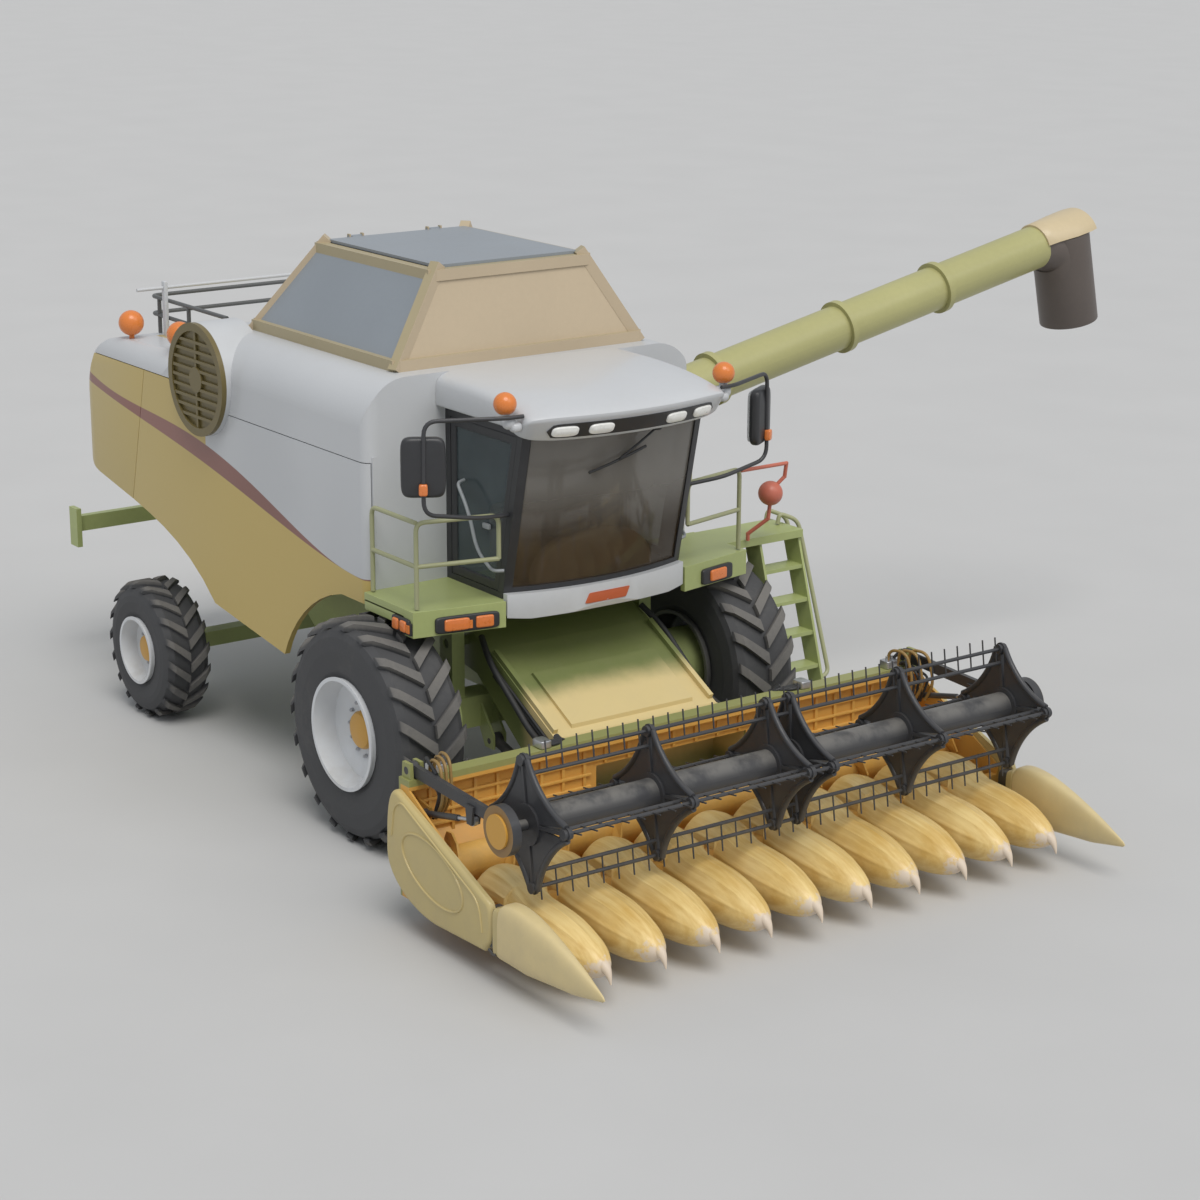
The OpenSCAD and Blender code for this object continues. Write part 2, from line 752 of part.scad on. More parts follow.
module unloader_base() color(tan_paint) placed() {
    translate([unloader_x, 1300, base_tube_z]) rotate([-90, 0, 0]) cylinder(r = unloader_r, h = unloader_y - 1300);
    translate([unloader_x, unloader_y, base_tube_z - unloader_r]) cylinder(r = unloader_r - 0.5, h = ring_z - base_tube_z + unloader_r - 5);
    translate([unloader_x, unloader_y, ring_z - 45]) cylinder(r = unloader_r + 40, h = 40);
    translate([unloader_x, unloader_y, ring_z - 50]) cylinder(r = 60, h = 170);
}

module unloader_frame() {
    translate([unloader_x, unloader_y, elbow_z]) rotate([unloader_rise, 0, 0]) rotate([-90, 0, 0]) children();
}

module unloader_tube() color(green) placed() {
    difference() {
        union() {
            unloader_frame() {
                cylinder(r = unloader_r, h = unloader_l);
                for (s = [450, 1950, 3150]) translate([0, 0, s]) cylinder(r = unloader_r + 38, h = 60);
            }
            translate([unloader_x, unloader_y, ring_z]) cylinder(r = unloader_r - 0.5, h = elbow_z - ring_z);
            translate([unloader_x, unloader_y, elbow_z]) sphere(r = unloader_r + 2);
            translate([unloader_x, unloader_y, ring_z]) cylinder(r = unloader_r + 40, h = 40);
        }
        translate([unloader_x, unloader_y, ring_z - 10]) cylinder(r = 60 + run_fit, h = 140);
    }
}

module unloader_spout() color(dark) placed() {
    unloader_frame() translate([0, 0, unloader_l]) difference() {
        union() {
            cylinder(r = unloader_r + 50, h = spout_reach);
            translate([0, -spout_rise, spout_reach]) rotate([-90, 0, 0]) cylinder(r = spout_r, h = spout_rise + spout_drop);
        }
        translate([0, 280, spout_reach]) rotate([-90, 0, 0]) cylinder(r = spout_r - 25, h = spout_drop);
    }
}

// Front line of the cab at a height.
function cab_front(z) = screen_foot_x + (z - deck_z) * tan(screen_lean);

module cab_bow(i) {
    translate([screen_foot_x, 0, deck_z]) rotate([0, screen_lean, 0]) translate([-screen_bow_r, 0, -300])
        cylinder(r = screen_bow_r - i, h = 2200, $fn = 200);
}

module cab_outside() {
    intersection() {
        box([cab_back, -cab_half, deck_z], [1500, cab_half, cab_top]);
        cab_bow(0);
    }
}

module cab_inside() {
    w = cab_wall;
    intersection() {
        box([cab_back + w, -cab_half + w, deck_z + w], [1500, cab_half - w, cab_top + 10]);
        cab_bow(w);
    }
}

// Corners of the door opening, drawn in by an inset.
door_back = front_x + 70;
door_low = deck_z + cab_wall;
door_top = cab_top - 60;
function door_outline(i, post) = [[door_back + i, door_low + i], [cab_front(door_low + i) - post - i, door_low + i],
    [cab_front(door_top - i) - post - i, door_top - i], [door_back + i, door_top - i]];

// Depth of the front pillar beside the door and beside the fixed window.
door_post = 330;
window_post = 220;
door_gap = 7;
door_rim = 75;
hinge_y = cab_half + 16;
hinge_r = 16;
hinge_pin_r = 8;
hinge_z = [2300, 3000];

module cab_frame() color(dark) placed() {
    difference() {
        cab_outside();
        cab_inside();
        cab_tub_space(eye_gap);
        translate([0, cab_half, 0]) across(cab_half) polygon(door_outline(0, door_post));
        translate([0, -cab_half, 0]) across(cab_half) polygon(door_outline(0, window_post));
        intersection() {
            cab_bow(-10);
            difference() {
                box([300, -cab_half + 70, deck_z + 90], [1500, cab_half - 70, cab_top - 70]);
                cab_bow(w_in);
            }
        }
    }
    for (z = hinge_z) {
        translate([door_back + door_gap, hinge_y, z - 80]) cylinder(r = hinge_r, h = 79);
        translate([door_back + door_gap, hinge_y, z - 80]) cylinder(r = hinge_pin_r, h = 150);
        box([door_back - 19, cab_half - 3, z - 75], [door_back + door_gap, hinge_y, z - 5]);
    }
}

// Floor and back wall of the cab, grown by a gap.
module cab_tub_space(g) {
    box([cab_back - g, -cab_half - g, deck_z - g], [1500, cab_half + g, deck_z + cab_wall + g]);
    box([cab_back - g, -cab_half - g, deck_z - g], [cab_back + cab_wall + g, cab_half + g, cab_top + g]);
}

module cab_tub() color(dark) placed() intersection() {
    cab_outside();
    cab_tub_space(0);
}

w_in = 60;

module cab_glass() color(glass) placed() {
    intersection() {
        difference() {
            cab_bow(15);
            cab_bow(23);
        }
        box([300, -cab_half + 70 + eye_gap, deck_z + 90 + eye_gap], [1500, cab_half - 70 - eye_gap, cab_top - 70 - eye_gap]);
    }
}

module door() {
    difference() {
        union() {
            translate([0, cab_half - 20, 0]) across(36) polygon(door_outline(door_gap, door_post));
            for (z = hinge_z) {
                translate([door_back + door_gap, hinge_y, z]) cylinder(r = hinge_r, h = 80);
                box([door_back + door_gap, cab_half - 4, z], [door_back + 60, hinge_y, z + 80]);
            }
        }
        translate([0, cab_half - 20, 0]) across(100) polygon(door_outline(door_rim, door_post));
        for (z = hinge_z) translate([door_back + door_gap, hinge_y, z - 10]) cylinder(r = hinge_pin_r + run_fit, h = 100);
    }
}

module side_pane(post) {
    translate([0, cab_half - 20, 0]) across(8) polygon(door_outline(door_rim + eye_gap, post));
}

module door_left() color(dark) placed() door();
module door_glass_left() color(glass) placed() side_pane(door_post);
module window_right() color(dark) placed() mirror([0, 1, 0]) translate([0, cab_half - 20, 0]) difference() {
    across(36) polygon(door_outline(eye_gap, window_post));
    across(100) polygon(door_outline(door_rim, window_post));
}
module window_glass_right() color(glass) placed() mirror([0, 1, 0]) side_pane(window_post);

// Turns an outline of x and z around the bow's upright axis, so that the front is bowed.
module bowed(front) {
    translate([front - screen_bow_r, 0, 0]) rotate([0, 0, -60]) rotate_extrude(angle = 120, $fn = 200)
        translate([screen_bow_r - front, 0]) children();
}

band_low = [roof_front - 90, 3360];
band_top = [roof_front - 20, 3480];

module cab_roof() color(white) placed() {
    intersection() {
        bowed(roof_front) polygon(concat([[cab_back - 250, cab_top + eye_gap], [1118, cab_top + eye_gap], [1158, 3352], band_low, band_top],
            bezier([roof_front, 3505], [roof_front - 60, 3560], [900, 3660], [300, 3700]), [[cab_back - 250, 3712]]));
        box([cab_back, -roof_w / 2, 3000], [2000, roof_w / 2, 4000]);
    }
}

module roof_lamps() color(steel) placed() {
    c = (band_low + band_top) / 2;
    d = band_top - band_low;
    for (y = [-660, -330, 330, 660]) translate([roof_front - screen_bow_r, 0, 0]) rotate([0, 0, asin(y / screen_bow_r)])
        translate([screen_bow_r - roof_front + c.x, 0, c.y]) rotate([0, 90 + atan2(d.x, d.y), 0])
            translate([0, 0, band_t + eye_gap]) linear_extrude(16) union() {
                square([72, 100], center = true);
                for (e = [-50, 50]) translate([0, e]) circle(r = 36);
            }
}

module front_sill() color(white) placed() {
    x = screen_foot_x;
    difference() {
        intersection() {
            across(2 * cab_half) polygon([[x - 135, deck_low], [x - 135, deck_z + 50], [x + 60, deck_z + 50], [x + 72, 1900],
                [x + 50, 1850], [x - 20, 1840], [x - 80, 1860]]);
            translate([x + 70 - screen_bow_r, 0, 1000]) cylinder(r = screen_bow_r, h = 2000, $fn = 200);
        }
        intersection() {
            cab_bow(-eye_gap);
            box([0, -2000, deck_z - eye_gap], [3000, 2000, 4000]);
        }
    }
}

module cab_interior() color(dark) placed() {
    z = deck_z + cab_wall;
    box([0, -260, z], [420, 260, z + 300]);
    box([-20, -270, z + 300], [460, 270, z + 430]);
    box([-60, -260, z + 420], [90, 260, z + 1050]);
    box([520, -60, z], [640, 60, z + 500]);
    translate([560, 0, z + 560]) rotate([0, -30, 0]) {
        rotate_extrude() translate([190, 0]) circle(r = 16);
        translate([0, 0, -140]) cylinder(r = 40, h = 156);
        translate([-16, -186, -9]) cube([32, 372, 18]);
    }
    box([0, -600, z], [450, -340, z + 560]);
}

function deck_outline(s) = [[front_x, 0], [front_x, s * platform_half], [558, s * platform_half], [706, s * 886],
    [screen_foot_x - 135, s * 880], [screen_foot_x - 135, 0]];

module cab_deck() color(green) placed() {
    translate([0, 0, deck_low]) linear_extrude(deck_t) union() {
        polygon(deck_outline(1));
        polygon(deck_outline(-1));
        translate([-150, platform_half - 10]) square([450, ladder_out - platform_half + 10]);
    }
    both_sides() {
        translate([0, 0, 1790]) linear_extrude(deck_low - 1790 + 5)
            polygon([[558, platform_half], [706, 886], [650, 886], [508, platform_half - 50], [430, platform_half - 50], [430, platform_half]]);
    }
}

module hand_rails() color(green) placed() {
    top = deck_z + rail_h;
    foot = deck_z + rail_r / 2;
    both_sides() {
        y = platform_half - 60;
        tubes([[rail_x, y, foot], [rail_x, y, top], [rail_x + 155, 930, top], [rail_x + 155, 930, foot]], rail_r);
        tube([rail_x, y, deck_z + 350], [rail_x + 155, 930, deck_z + 350], rail_r);
    }
    tubes([[rail_x, -platform_half + 60, top], [-130, -platform_half + 60, top], [-130, -platform_half + 60, foot]], rail_r);
    tube([rail_x, -platform_half + 60, deck_z + 350], [-130, -platform_half + 60, deck_z + 350], rail_r);
    for (x = [-10, 110]) {
        end = x + 60 + ladder_lean * (deck_z + 130 - ladder_rail_z);
        tubes([[x, ladder_out - 60, foot], [x, ladder_out - 60, deck_z + 130], [x + 60, ladder_out + 40, deck_z + 130],
            [end, ladder_out + 40, ladder_rail_z], [end, ladder_out - 8 + rail_r / 2 + eye_gap, ladder_rail_z]], rail_r);
    }
    deck_rail();
}

// Front posts of the platforms' rails, outside the door's swing.
rail_x = 520;

// Guard rail around the engine deck.
module deck_rail() {
    z = deck_rear_z + 330;
    x = [-3350, -4800];
    y = 1100;
    for (dz = [0, -160]) tubes([[x[0], -y, z + dz], [x[1], -y, z + dz], [x[1], y, z + dz], [x[0], y, z + dz]], rail_r);
    both_sides() for (q = [x[0] - 30, (x[0] + x[1]) / 2, x[1] + 150]) tube([q, y, deck_top(q) + rail_r / 2 + 0.8], [q, y, z], rail_r);
}

ladder_top = [60, 0];
ladder_lean = 0.30;
ladder_rail_z = 650;

module ladder() color(green) placed() {
    both = [ladder_out - 450, ladder_out - 20];
    lean = ladder_lean;
    for (y = both) translate([0, y, 0]) across(24)
        polygon([[ladder_top.x, deck_low], [ladder_top.x + 210, deck_low], [ladder_top.x + 210 + lean * (deck_low - 430), 430],
            [ladder_top.x + 30 + lean * (deck_low - 430), 430]]);
    for (k = [0:4]) {
        z = deck_low - 250 - k * 280;
        x = ladder_top.x + lean * (deck_low - z);
        box([x + 20, both[0], z - 16], [x + 200, both[1], z + 16]);
    }
}

mirror_round = 60;

module mirrors() color(dark) placed() {
    both_sides() {
        tubes([[1090, roof_w / 2 + rail_r / 2 + 0.7, 3540], [1080, 1160, 3540], [822, 1620, 3530], [822, 1640, 2780],
            [840, 1300, 2720]], rail_r);
        translate([772, 1640, 3180]) rotate([0, 0, 8]) rotate([90, 0, 90]) linear_extrude(80, center = true) union() {
            square([350, 480 - 2 * mirror_round], center = true);
            square([350 - 2 * mirror_round, 480], center = true);
            for (u = [-1, 1], v = [-1, 1]) translate([u * (175 - mirror_round), v * (240 - mirror_round)]) circle(r = mirror_round);
        }
    }
}

// Point on the outer face of a platform's front edge, t from its outer corner.
function fascia(t, off) = let (a = [558, platform_half], d = [706, 886] - a, n = [-d.y, d.x] / norm(d)) a + t * d + off * n;

module amber_lamps() color(amber) placed() {
    both_sides() {
        translate([960, roof_w / 2 + 95, 3645]) sphere(r = 90);
        translate([960, roof_w / 2 + 95, 3500]) cylinder(r = 34, h = 100);
        box([930, roof_w / 2 + eye_gap, 3500], [990, roof_w / 2 + 95, 3540]);
    }
    for (q = front_lenses) mirror([0, q[0] > 0 ? 0 : 1, 0]) fascia_box(q[1], 112, 66, housing_t + 2 * eye_gap, 10);
    for (x = [464, 520]) box([x - 21, -platform_half - housing_t - 10, lamp_z - 33],
        [x + 21, -platform_half - housing_t - 2 * eye_gap, lamp_z + 33]);
    for (x = [-4550, -3600]) {
        translate([x, -body_half + 170, deck_top(x) + 142]) sphere(r = 115);
        translate([x, -body_half + 170, deck_top(x) + 1.1]) cylinder(r = 24, h = 60);
    }
}

// A box on a platform's front edge, centred at t, w wide and h high, from off outwards by d.
module fascia_box(t, w, h, off, d) {
    a = fascia(t, off);
    run = fascia(1, 0) - fascia(0, 0);
    translate([a.x, a.y, lamp_z]) rotate([0, 0, atan2(run.y, run.x)]) translate([-w / 2, 0, -h / 2]) cube([w, d, h]);
}

// Sides and places of the lenses on the platforms' front edges.
front_lenses = [[-1, 0.55], [-1, 0.77], [1, 0.47]];
lamp_z = 1862;
housing_t = 22;

module lamp_housings() color(dark) placed() {
    mirror([0, 1, 0]) fascia_box(0.66, 330, 100, eye_gap, housing_t);
    fascia_box(0.50, 230, 100, eye_gap, housing_t);
    box([438, -platform_half - housing_t - eye_gap, lamp_z - 52], [550, -platform_half - eye_gap, lamp_z + 48]);
    d = (band_top - band_low) / norm(band_top - band_low);
    n = [d.y, -d.x];
    intersection() {
        bowed(roof_front) polygon([band_low + 14 * d + eye_gap * n, band_low + 14 * d + band_t * n,
            band_top - 14 * d + band_t * n, band_top - 14 * d + eye_gap * n]);
        box([0, -820, 3000], [2000, 820, 4000]);
    }
}

band_t = 8;

module marker_ball() color(red) placed() {
    r = 17;
    y = ladder_out - 500;
    tubes([[330, y - 140, deck_z + r / 2 + eye_gap], [330, y - 140, 2060], [450, y - 20, 2200], [450, y, 2350]], r);
    translate([450, y, 2420]) sphere(r = 105);
    z = deck_z + rail_h - 20;
    tubes([[450, y, 2440], [500, y + 110, 2560], [rail_x, y + 110, z],
        [rail_x, platform_half - 60 + rail_r + eye_gap + r / 2, z]], r);
}

feeder_half = 800;

// Point on the feeder's slope, t along it and off above it.
feeder_top = [334, 1490];
feeder_low = [1251, 1000];
function slope_at(t, off) = let (d = (feeder_low - feeder_top) / norm(feeder_low - feeder_top)) feeder_top + t * d + off * [-d.y, d.x];

module feeder_house() color(green) placed() {
    difference() {
        union() {
            across(2 * feeder_half) polygon([[-150, 1300], [-150, 1640], [60, 1600], feeder_top, feeder_low, [header_back, 960],
                [header_back, 330], [1250, 440], [150, 1250]]);
            box([1560, -860, 300], [header_back, 860, 1000]);
            across(1200) polygon([slope_at(330, -6), slope_at(352, 30), slope_at(960, 30), slope_at(982, -6)]);
            for (y = [-feeder_half + 30, feeder_half - 30]) translate([0, y, 0]) across(44)
                polygon([slope_at(40, -6), slope_at(40, 44), slope_at(990, 44), slope_at(990, -6)]);
            cross_pin_at([0, 0, pivot_z], feeder_pin_r, 2 * 990);
            both_sides() for (y = [lift_y - 55, lift_y + 55]) translate([0, y, 0]) across(20)
                polygon([[980, 660], [960, 480], [lift_b.x - 20, 420], [lift_b.x + 60, 430], [lift_b.x + 90, 580]]);
            both_sides() cross_pin_at([lift_b.x, lift_y, lift_b.y], lift_pin_r, 120);
        }
        box([1300, -740, 480], [header_back + 10, 740, 900]);
    }
}

module header_section() {
    polygon(concat([[header_back, 240], [header_back, 1170], [1830, 1170], [1830, 1090], [1720, 1090], [1720, 700]],
        arc([auger_x, auger_z], auger_r + 30, 180, 285), [[2700, 330], [2740, 480], [snout_back, 480], [snout_back, 230]]));
}

module header_frame() color(green) placed() {
    difference() {
        union() {
            across(2 * header_half) header_section();
            both_sides() {
                translate([0, header_half - 8, 0]) across(16) polygon([[header_back, 1170], [header_back, 240], [snout_back, 230], [snout_back, 560]]);
                for (y = [arm_y - 45, arm_y + 45]) translate([0, y, 0]) across(30)
                    polygon([[1700, 1160], [1820, 1160], [1810, 1290], [1710, 1290]]);
                for (y = [arm_y - 36, arm_y + 36]) translate([0, y, 0]) across(18)
                    polygon([[1719, 860], [1719, 1010], [1945, 975], [1945, 885]]);
            }
        }
        box([header_back - 10, -740, 480], [1900, 740, 900]);
        both_sides() cross_pin_at([arm_pivot_x, arm_y, arm_pivot_z], 30 + run_fit, 200);
        both_sides() cross_pin_at([reel_c.x, arm_y, reel_c.y], 20 + run_fit, 120);
        cross_pin_at([auger_x, 0, auger_z], auger_pin_r + run_fit, 2 * header_half + 10);
    }
}

auger_pin_r = 35;
reel_c = [1900, 930];
reel_d = [2560, 1080];

module header_ends() color(beige) placed() {
    both_sides() {
        translate([0, header_half + end_panel_t / 2, 0]) across(end_panel_t)
            polygon(concat(bezier([1760, 1072], [1660, 1110], [1600, 1010], [1588, 760]),
                bezier([1582, 600], [1575, 380], [1880, 200], [2250, 192]), [[2880, 216]],
                bezier([2955, 300], [2985, 400], [2985, 560], [2935, 606], 4)));
        intersection() {
            translate([0, header_half - 23, 0]) across(190) polygon(concat([[2945, 225], [2945, 560]], bezier([3100, 625], [3300, 690], [3750, 560], [divider_tip - 16, 330]),
                [[divider_tip, 316], [divider_tip - 16, 298], [3900, 240], [3400, 205]]));
            linear_extrude(2000) polygon([[2900, header_half - 118], [3400, header_half - 118], [divider_tip + 1, header_half - 43],
                [divider_tip + 1, header_half - 3], [3400, header_half + 70], [2900, header_half + 70]]);
        }
    }
}

// Half outline of a snout, from its tip to its back.
module snout_outline(l) {
    polygon(concat([[0, 0]], bezier([14, 0], [snout_r * 0.62, 30], [snout_r, 250], [snout_r, 560]),
        [[snout_r - 6, l], [0, l]]));
}

// The hood behind a snout, round across and sloping down to the front.
module snout_hood() {
    intersection() {
        across(2 * snout_r) polygon(concat([[hood_rear, hood_low_z], [hood_rear, 600]],
            bezier([hood_rear + 20, 640], [hood_rear + 120, 690], [snout_back, 640], [snout_back + 180, 545]),
            [[snout_back + 180, 400], [snout_back + eye_gap, 400], [snout_back + eye_gap, hood_low_z]]));
        translate([hood_rear - 10, 0, 0]) along(700) union() {
            translate([0, 660 - snout_r]) circle(r = snout_r - 4);
            translate([-snout_r + 4, 300]) square([2 * snout_r - 8, 360 - snout_r]);
        }
    }
}

module row_snouts() color(yellow) placed() {
    l = snout_tip - snout_back;
    tip_z = 300;
    back_z = 370;
    for (k = [0:snout_n - 1]) translate([0, (k - (snout_n - 1) / 2) * snout_pitch, 0]) {
        intersection() {
            translate([snout_tip, 0, tip_z]) rotate([0, -90 + atan2(back_z - tip_z, l), 0]) rotate_extrude() snout_outline(l * 1.2);
            box([snout_back, -400, 0], [snout_tip + 100, 400, 2000]);
        }
        snout_hood();
        translate([snout_tip - 34, 0, tip_z + 8]) rotate([0, 142, 0]) cylinder(r1 = 36, r2 = 4, h = 140);
    }
}

module lift_frame() {
    d = lift_b - lift_a;
    translate([lift_a.x, 0, lift_a.y]) rotate([0, -atan2(d.y, d.x), 0]) children();
}

lift_l = norm(lift_b - lift_a);

module lift_barrels() color(dark) placed() {
    both_sides() lift_frame() translate([0, lift_y, 0]) difference() {
        union() {
            rotate([0, 90, 0]) cylinder(r = 42, h = 560);
            cross_pin(60, 80);
            cross_pin(lift_pin_r, 130);
        }
        translate([90, 0, 0]) rotate([0, 90, 0]) cylinder(r = 28 + run_fit, h = 600);
    }
}

module lift_rods() color(steel) placed() {
    both_sides() lift_frame() translate([0, lift_y, 0]) difference() {
        union() {
            translate([190, 0, 0]) rotate([0, 90, 0]) cylinder(r = 28, h = lift_l - 190 - 60);
            translate([lift_l, 0, 0]) cross_pin(62, 60);
        }
        translate([lift_l, 0, 0]) cross_pin(lift_pin_r + 22, 100);
    }
}

reel_l = norm(reel_d - reel_c);
barrel_share = 0.71;
rod_share = 0.28;

module reel_cylinder_frame() {
    d = reel_d - reel_c;
    translate([reel_c.x, 0, reel_c.y]) rotate([0, -atan2(d.y, d.x), 0]) children();
}

module reel_barrels() color(dark) placed() {
    both_sides() reel_cylinder_frame() translate([0, arm_y, 0]) difference() {
        union() {
            rotate([0, 90, 0]) cylinder(r = 24, h = barrel_share * reel_l);
            cross_pin(32, 52);
            cross_pin(20, 90);
        }
        translate([60, 0, 0]) rotate([0, 90, 0]) cylinder(r = 15 + run_fit, h = reel_l);
    }
}

module reel_rods() color(steel) placed() {
    both_sides() reel_cylinder_frame() translate([0, arm_y, 0]) difference() {
        union() {
            translate([rod_share * reel_l, 0, 0]) rotate([0, 90, 0]) cylinder(r = 15, h = reel_l - rod_share * reel_l - 36);
            translate([reel_l, 0, 0]) cross_pin(44, 34);
        }
        translate([reel_l, 0, 0]) cross_pin(14 + 15, 80);
    }
}

// Height of a reel arm's middle line at x.
function arm_line(x) = arm_pivot_z + (x - arm_pivot_x) * (reel_z - arm_pivot_z) / (reel_x - arm_pivot_x);

module reel_arms() color(dark) placed() {
    both_sides() difference() {
        union() {
            bar([arm_pivot_x, arm_y, arm_pivot_z], [reel_x, arm_y, reel_z], 90, 40);
            cross_pin_at([reel_x, arm_y, reel_z], 80, 48);
            cross_pin_at([arm_pivot_x, arm_y, arm_pivot_z], 60, 48);
            cross_pin_at([arm_pivot_x, arm_y, arm_pivot_z], 30, 118);
            for (y = [-28, 28]) translate([0, arm_y + y, 0]) across(20)
                polygon([[reel_d.x - 50, arm_line(reel_d.x)], [reel_d.x - 30, reel_d.y - 30],
                    [reel_d.x + 30, reel_d.y - 30], [reel_d.x + 50, arm_line(reel_d.x)]]);
            cross_pin_at([reel_d.x, arm_y, reel_d.y], 14, 60);
        }
        cross_pin_at([reel_x, arm_y, reel_z], reel_pin_r + run_fit, 200);
    }
}

// Outline of a reel plate with four hollow sides and a round end on each arm.
module reel_plate() {
    for (a = [0, 90, 180, 270]) rotate(a) {
        polygon(concat([[0, 0]], bezier([reel_r + 8, -boss_r + 4], [0.60 * reel_r, -0.26 * reel_r],
            [0.26 * reel_r, -0.60 * reel_r], [boss_r - 4, -reel_r - 8], 8)));
        translate([reel_r, 0]) circle(r = boss_r);
    }
}

// A plate with its arms' ribs, its end bosses and the sleeve around the tube.
module reel_spider() {
    across(plate_t) reel_plate();
    cross_pin(reel_tube_r + 38, 3.4 * plate_t);
    for (a = [0, 90, 180, 270]) rotate([0, a, 0]) {
        box([reel_tube_r, -1.2 * plate_t, -14], [reel_r, 1.2 * plate_t, 14]);
        translate([reel_r, 0, 0]) cross_pin(boss_r - 10, 4.2 * plate_t);
    }
}

module reel_bats() {
    span = 2 * reel_end_y;
    tine = 9;
    for (a = [0, 90, 180, 270]) rotate([0, a, 0]) {
        for (x = [reel_r, reel_r - 110]) translate([x, 0, 0]) rotate([90, 0, 0])
            cylinder(r = 15, h = span, center = true, $fn = 8);
        for (k = [0:tine_n - 1]) {
            y = -span / 2 + span * (k + 0.5) / tine_n;
            box([reel_r - 120, y - tine / 2, -tine / 2], [reel_r + 100, y + tine / 2, tine / 2]);
        }
    }
}

module reel() color(dark) placed() {
    translate([reel_x, 0, reel_z]) rotate([0, -8, 0]) {
        cross_pin(reel_pin_r, 2 * (arm_y + 60));
        cross_pin(reel_tube_r, 2 * reel_end_y);
        reel_bats();
        both_sides() {
            for (y = [reel_end_y - 10, 1190, 110]) translate([0, y, 0]) reel_spider();
            translate([0, arm_y + 80, 0]) cross_pin(185, 76);
            translate([0, arm_y + 120, 0]) cross_pin(125, 30);
        }
    }
}

// A screw flight as one strip, its edges on two spirals.
module flight(from, to, turns) {
    n = 12;
    steps = n * turns;
    t = 8;
    r_in = (auger_tube_r + eye_gap) / cos(180 / n);
    points = [for (k = [0:steps]) let (a = 360 * k / n, y = from + (to - from) * k / steps)
        for (q = [[r_in, -t], [auger_r, -t], [auger_r, t], [r_in, t]]) [q[0] * cos(a), y + q[1], q[0] * sin(a)]];
    sides = [for (k = [0:steps - 1]) for (j = [0:3]) let (m = (j + 1) % 4)
        [4 * k + 4 + j, 4 * k + 4 + m, 4 * k + m, 4 * k + j]];
    polyhedron(points, concat(sides, [[0, 1, 2, 3], [for (j = [3:-1:0]) 4 * steps + j]]));
}

module cross_auger() color(orange) placed() {
    translate([auger_x, 0, auger_z]) {
        cross_pin(auger_tube_r, 2 * (header_half - 50));
        cross_pin(auger_pin_r, 2 * header_half - 4);
        flight(-header_half + 60, -500, 4);
        flight(header_half - 60, 500, 4);
    }
}

chassis_frame();
drive_axle();
thresher_housing();
engine_block();
grain_tank();
upper_shell();
side_panel_right();
side_panel_left();
rear_hood();
air_screen();
tank_frame();
tank_side_panels();
tank_end_panels();
rear_beam();
straw_chopper();
steer_axle();
unloader_base();
cab_tub();
cab_frame();
cab_roof();
cab_glass();
cab_interior();
front_sill();
cab_deck();
hand_rails();
ladder();
mirrors();
amber_lamps();
roof_lamps();
lamp_housings();
marker_ball();
drive_tyre_left();
drive_rim_left();
drive_tyre_right();
drive_rim_right();
knuckle_left();
knuckle_right();
tie_rod();
steer_tyre_left();
steer_rim_left();
steer_tyre_right();
steer_rim_right();
feeder_house();
header_frame();
header_ends();
row_snouts();
lift_barrels();
lift_rods();
cross_auger();
reel_arms();
reel_barrels();
reel_rods();
reel();
unloader_tube();
unloader_spout();
door_left();
door_glass_left();
window_right();
window_glass_right();
tank_lid();
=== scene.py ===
"""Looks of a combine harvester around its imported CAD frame. Lengths are metres in the machine frame:
origin on the ground under the drive axle, X forward, Y to the left, Z up."""
import math

import bmesh
import bpy
import numpy as np
from mathutils import Matrix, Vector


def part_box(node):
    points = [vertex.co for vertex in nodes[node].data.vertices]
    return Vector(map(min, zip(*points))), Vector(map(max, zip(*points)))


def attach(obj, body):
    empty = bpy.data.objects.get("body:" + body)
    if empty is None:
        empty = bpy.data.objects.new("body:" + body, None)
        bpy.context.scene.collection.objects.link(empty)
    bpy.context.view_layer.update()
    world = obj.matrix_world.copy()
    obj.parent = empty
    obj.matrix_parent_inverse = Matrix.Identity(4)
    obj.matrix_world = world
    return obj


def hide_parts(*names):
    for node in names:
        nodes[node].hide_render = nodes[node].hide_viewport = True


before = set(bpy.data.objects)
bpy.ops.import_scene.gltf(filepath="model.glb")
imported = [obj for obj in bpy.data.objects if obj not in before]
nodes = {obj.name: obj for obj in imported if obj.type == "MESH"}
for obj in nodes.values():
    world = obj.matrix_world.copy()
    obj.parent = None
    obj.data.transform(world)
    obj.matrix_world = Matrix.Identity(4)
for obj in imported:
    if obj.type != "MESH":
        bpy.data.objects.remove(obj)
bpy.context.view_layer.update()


def middle(node):
    """Centre of a CAD node's box."""
    low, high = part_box(node)
    return (np.array(low) + np.array(high)) / 2


LEFT, RIGHT = middle("drive_rim_left"), middle("drive_rim_right")
ORIGIN = np.array([(LEFT[0] + RIGHT[0]) / 2, (LEFT[1] + RIGHT[1]) / 2, 0.0])

SIDES = (-1, 1)  # right and left, as signs of y

# x and z of the lines that wheels and reel turn about
DRIVE_AXLE = (0.0, 0.92)
STEER_AXLE = (-3.864, 0.629)
REEL_AXLE = (3.05, 1.17)

CAB_BOW = 2.6       # radius of the cab's bowed front, seen from above
CAB_FLOOR = 2.05
DECK_TOP = 2.0095
LAMP_LEVEL = 1.872  # height of the lamps under the platforms
SHIELD_FACE = 2.560  # distance of the beads on the header's ends from the middle

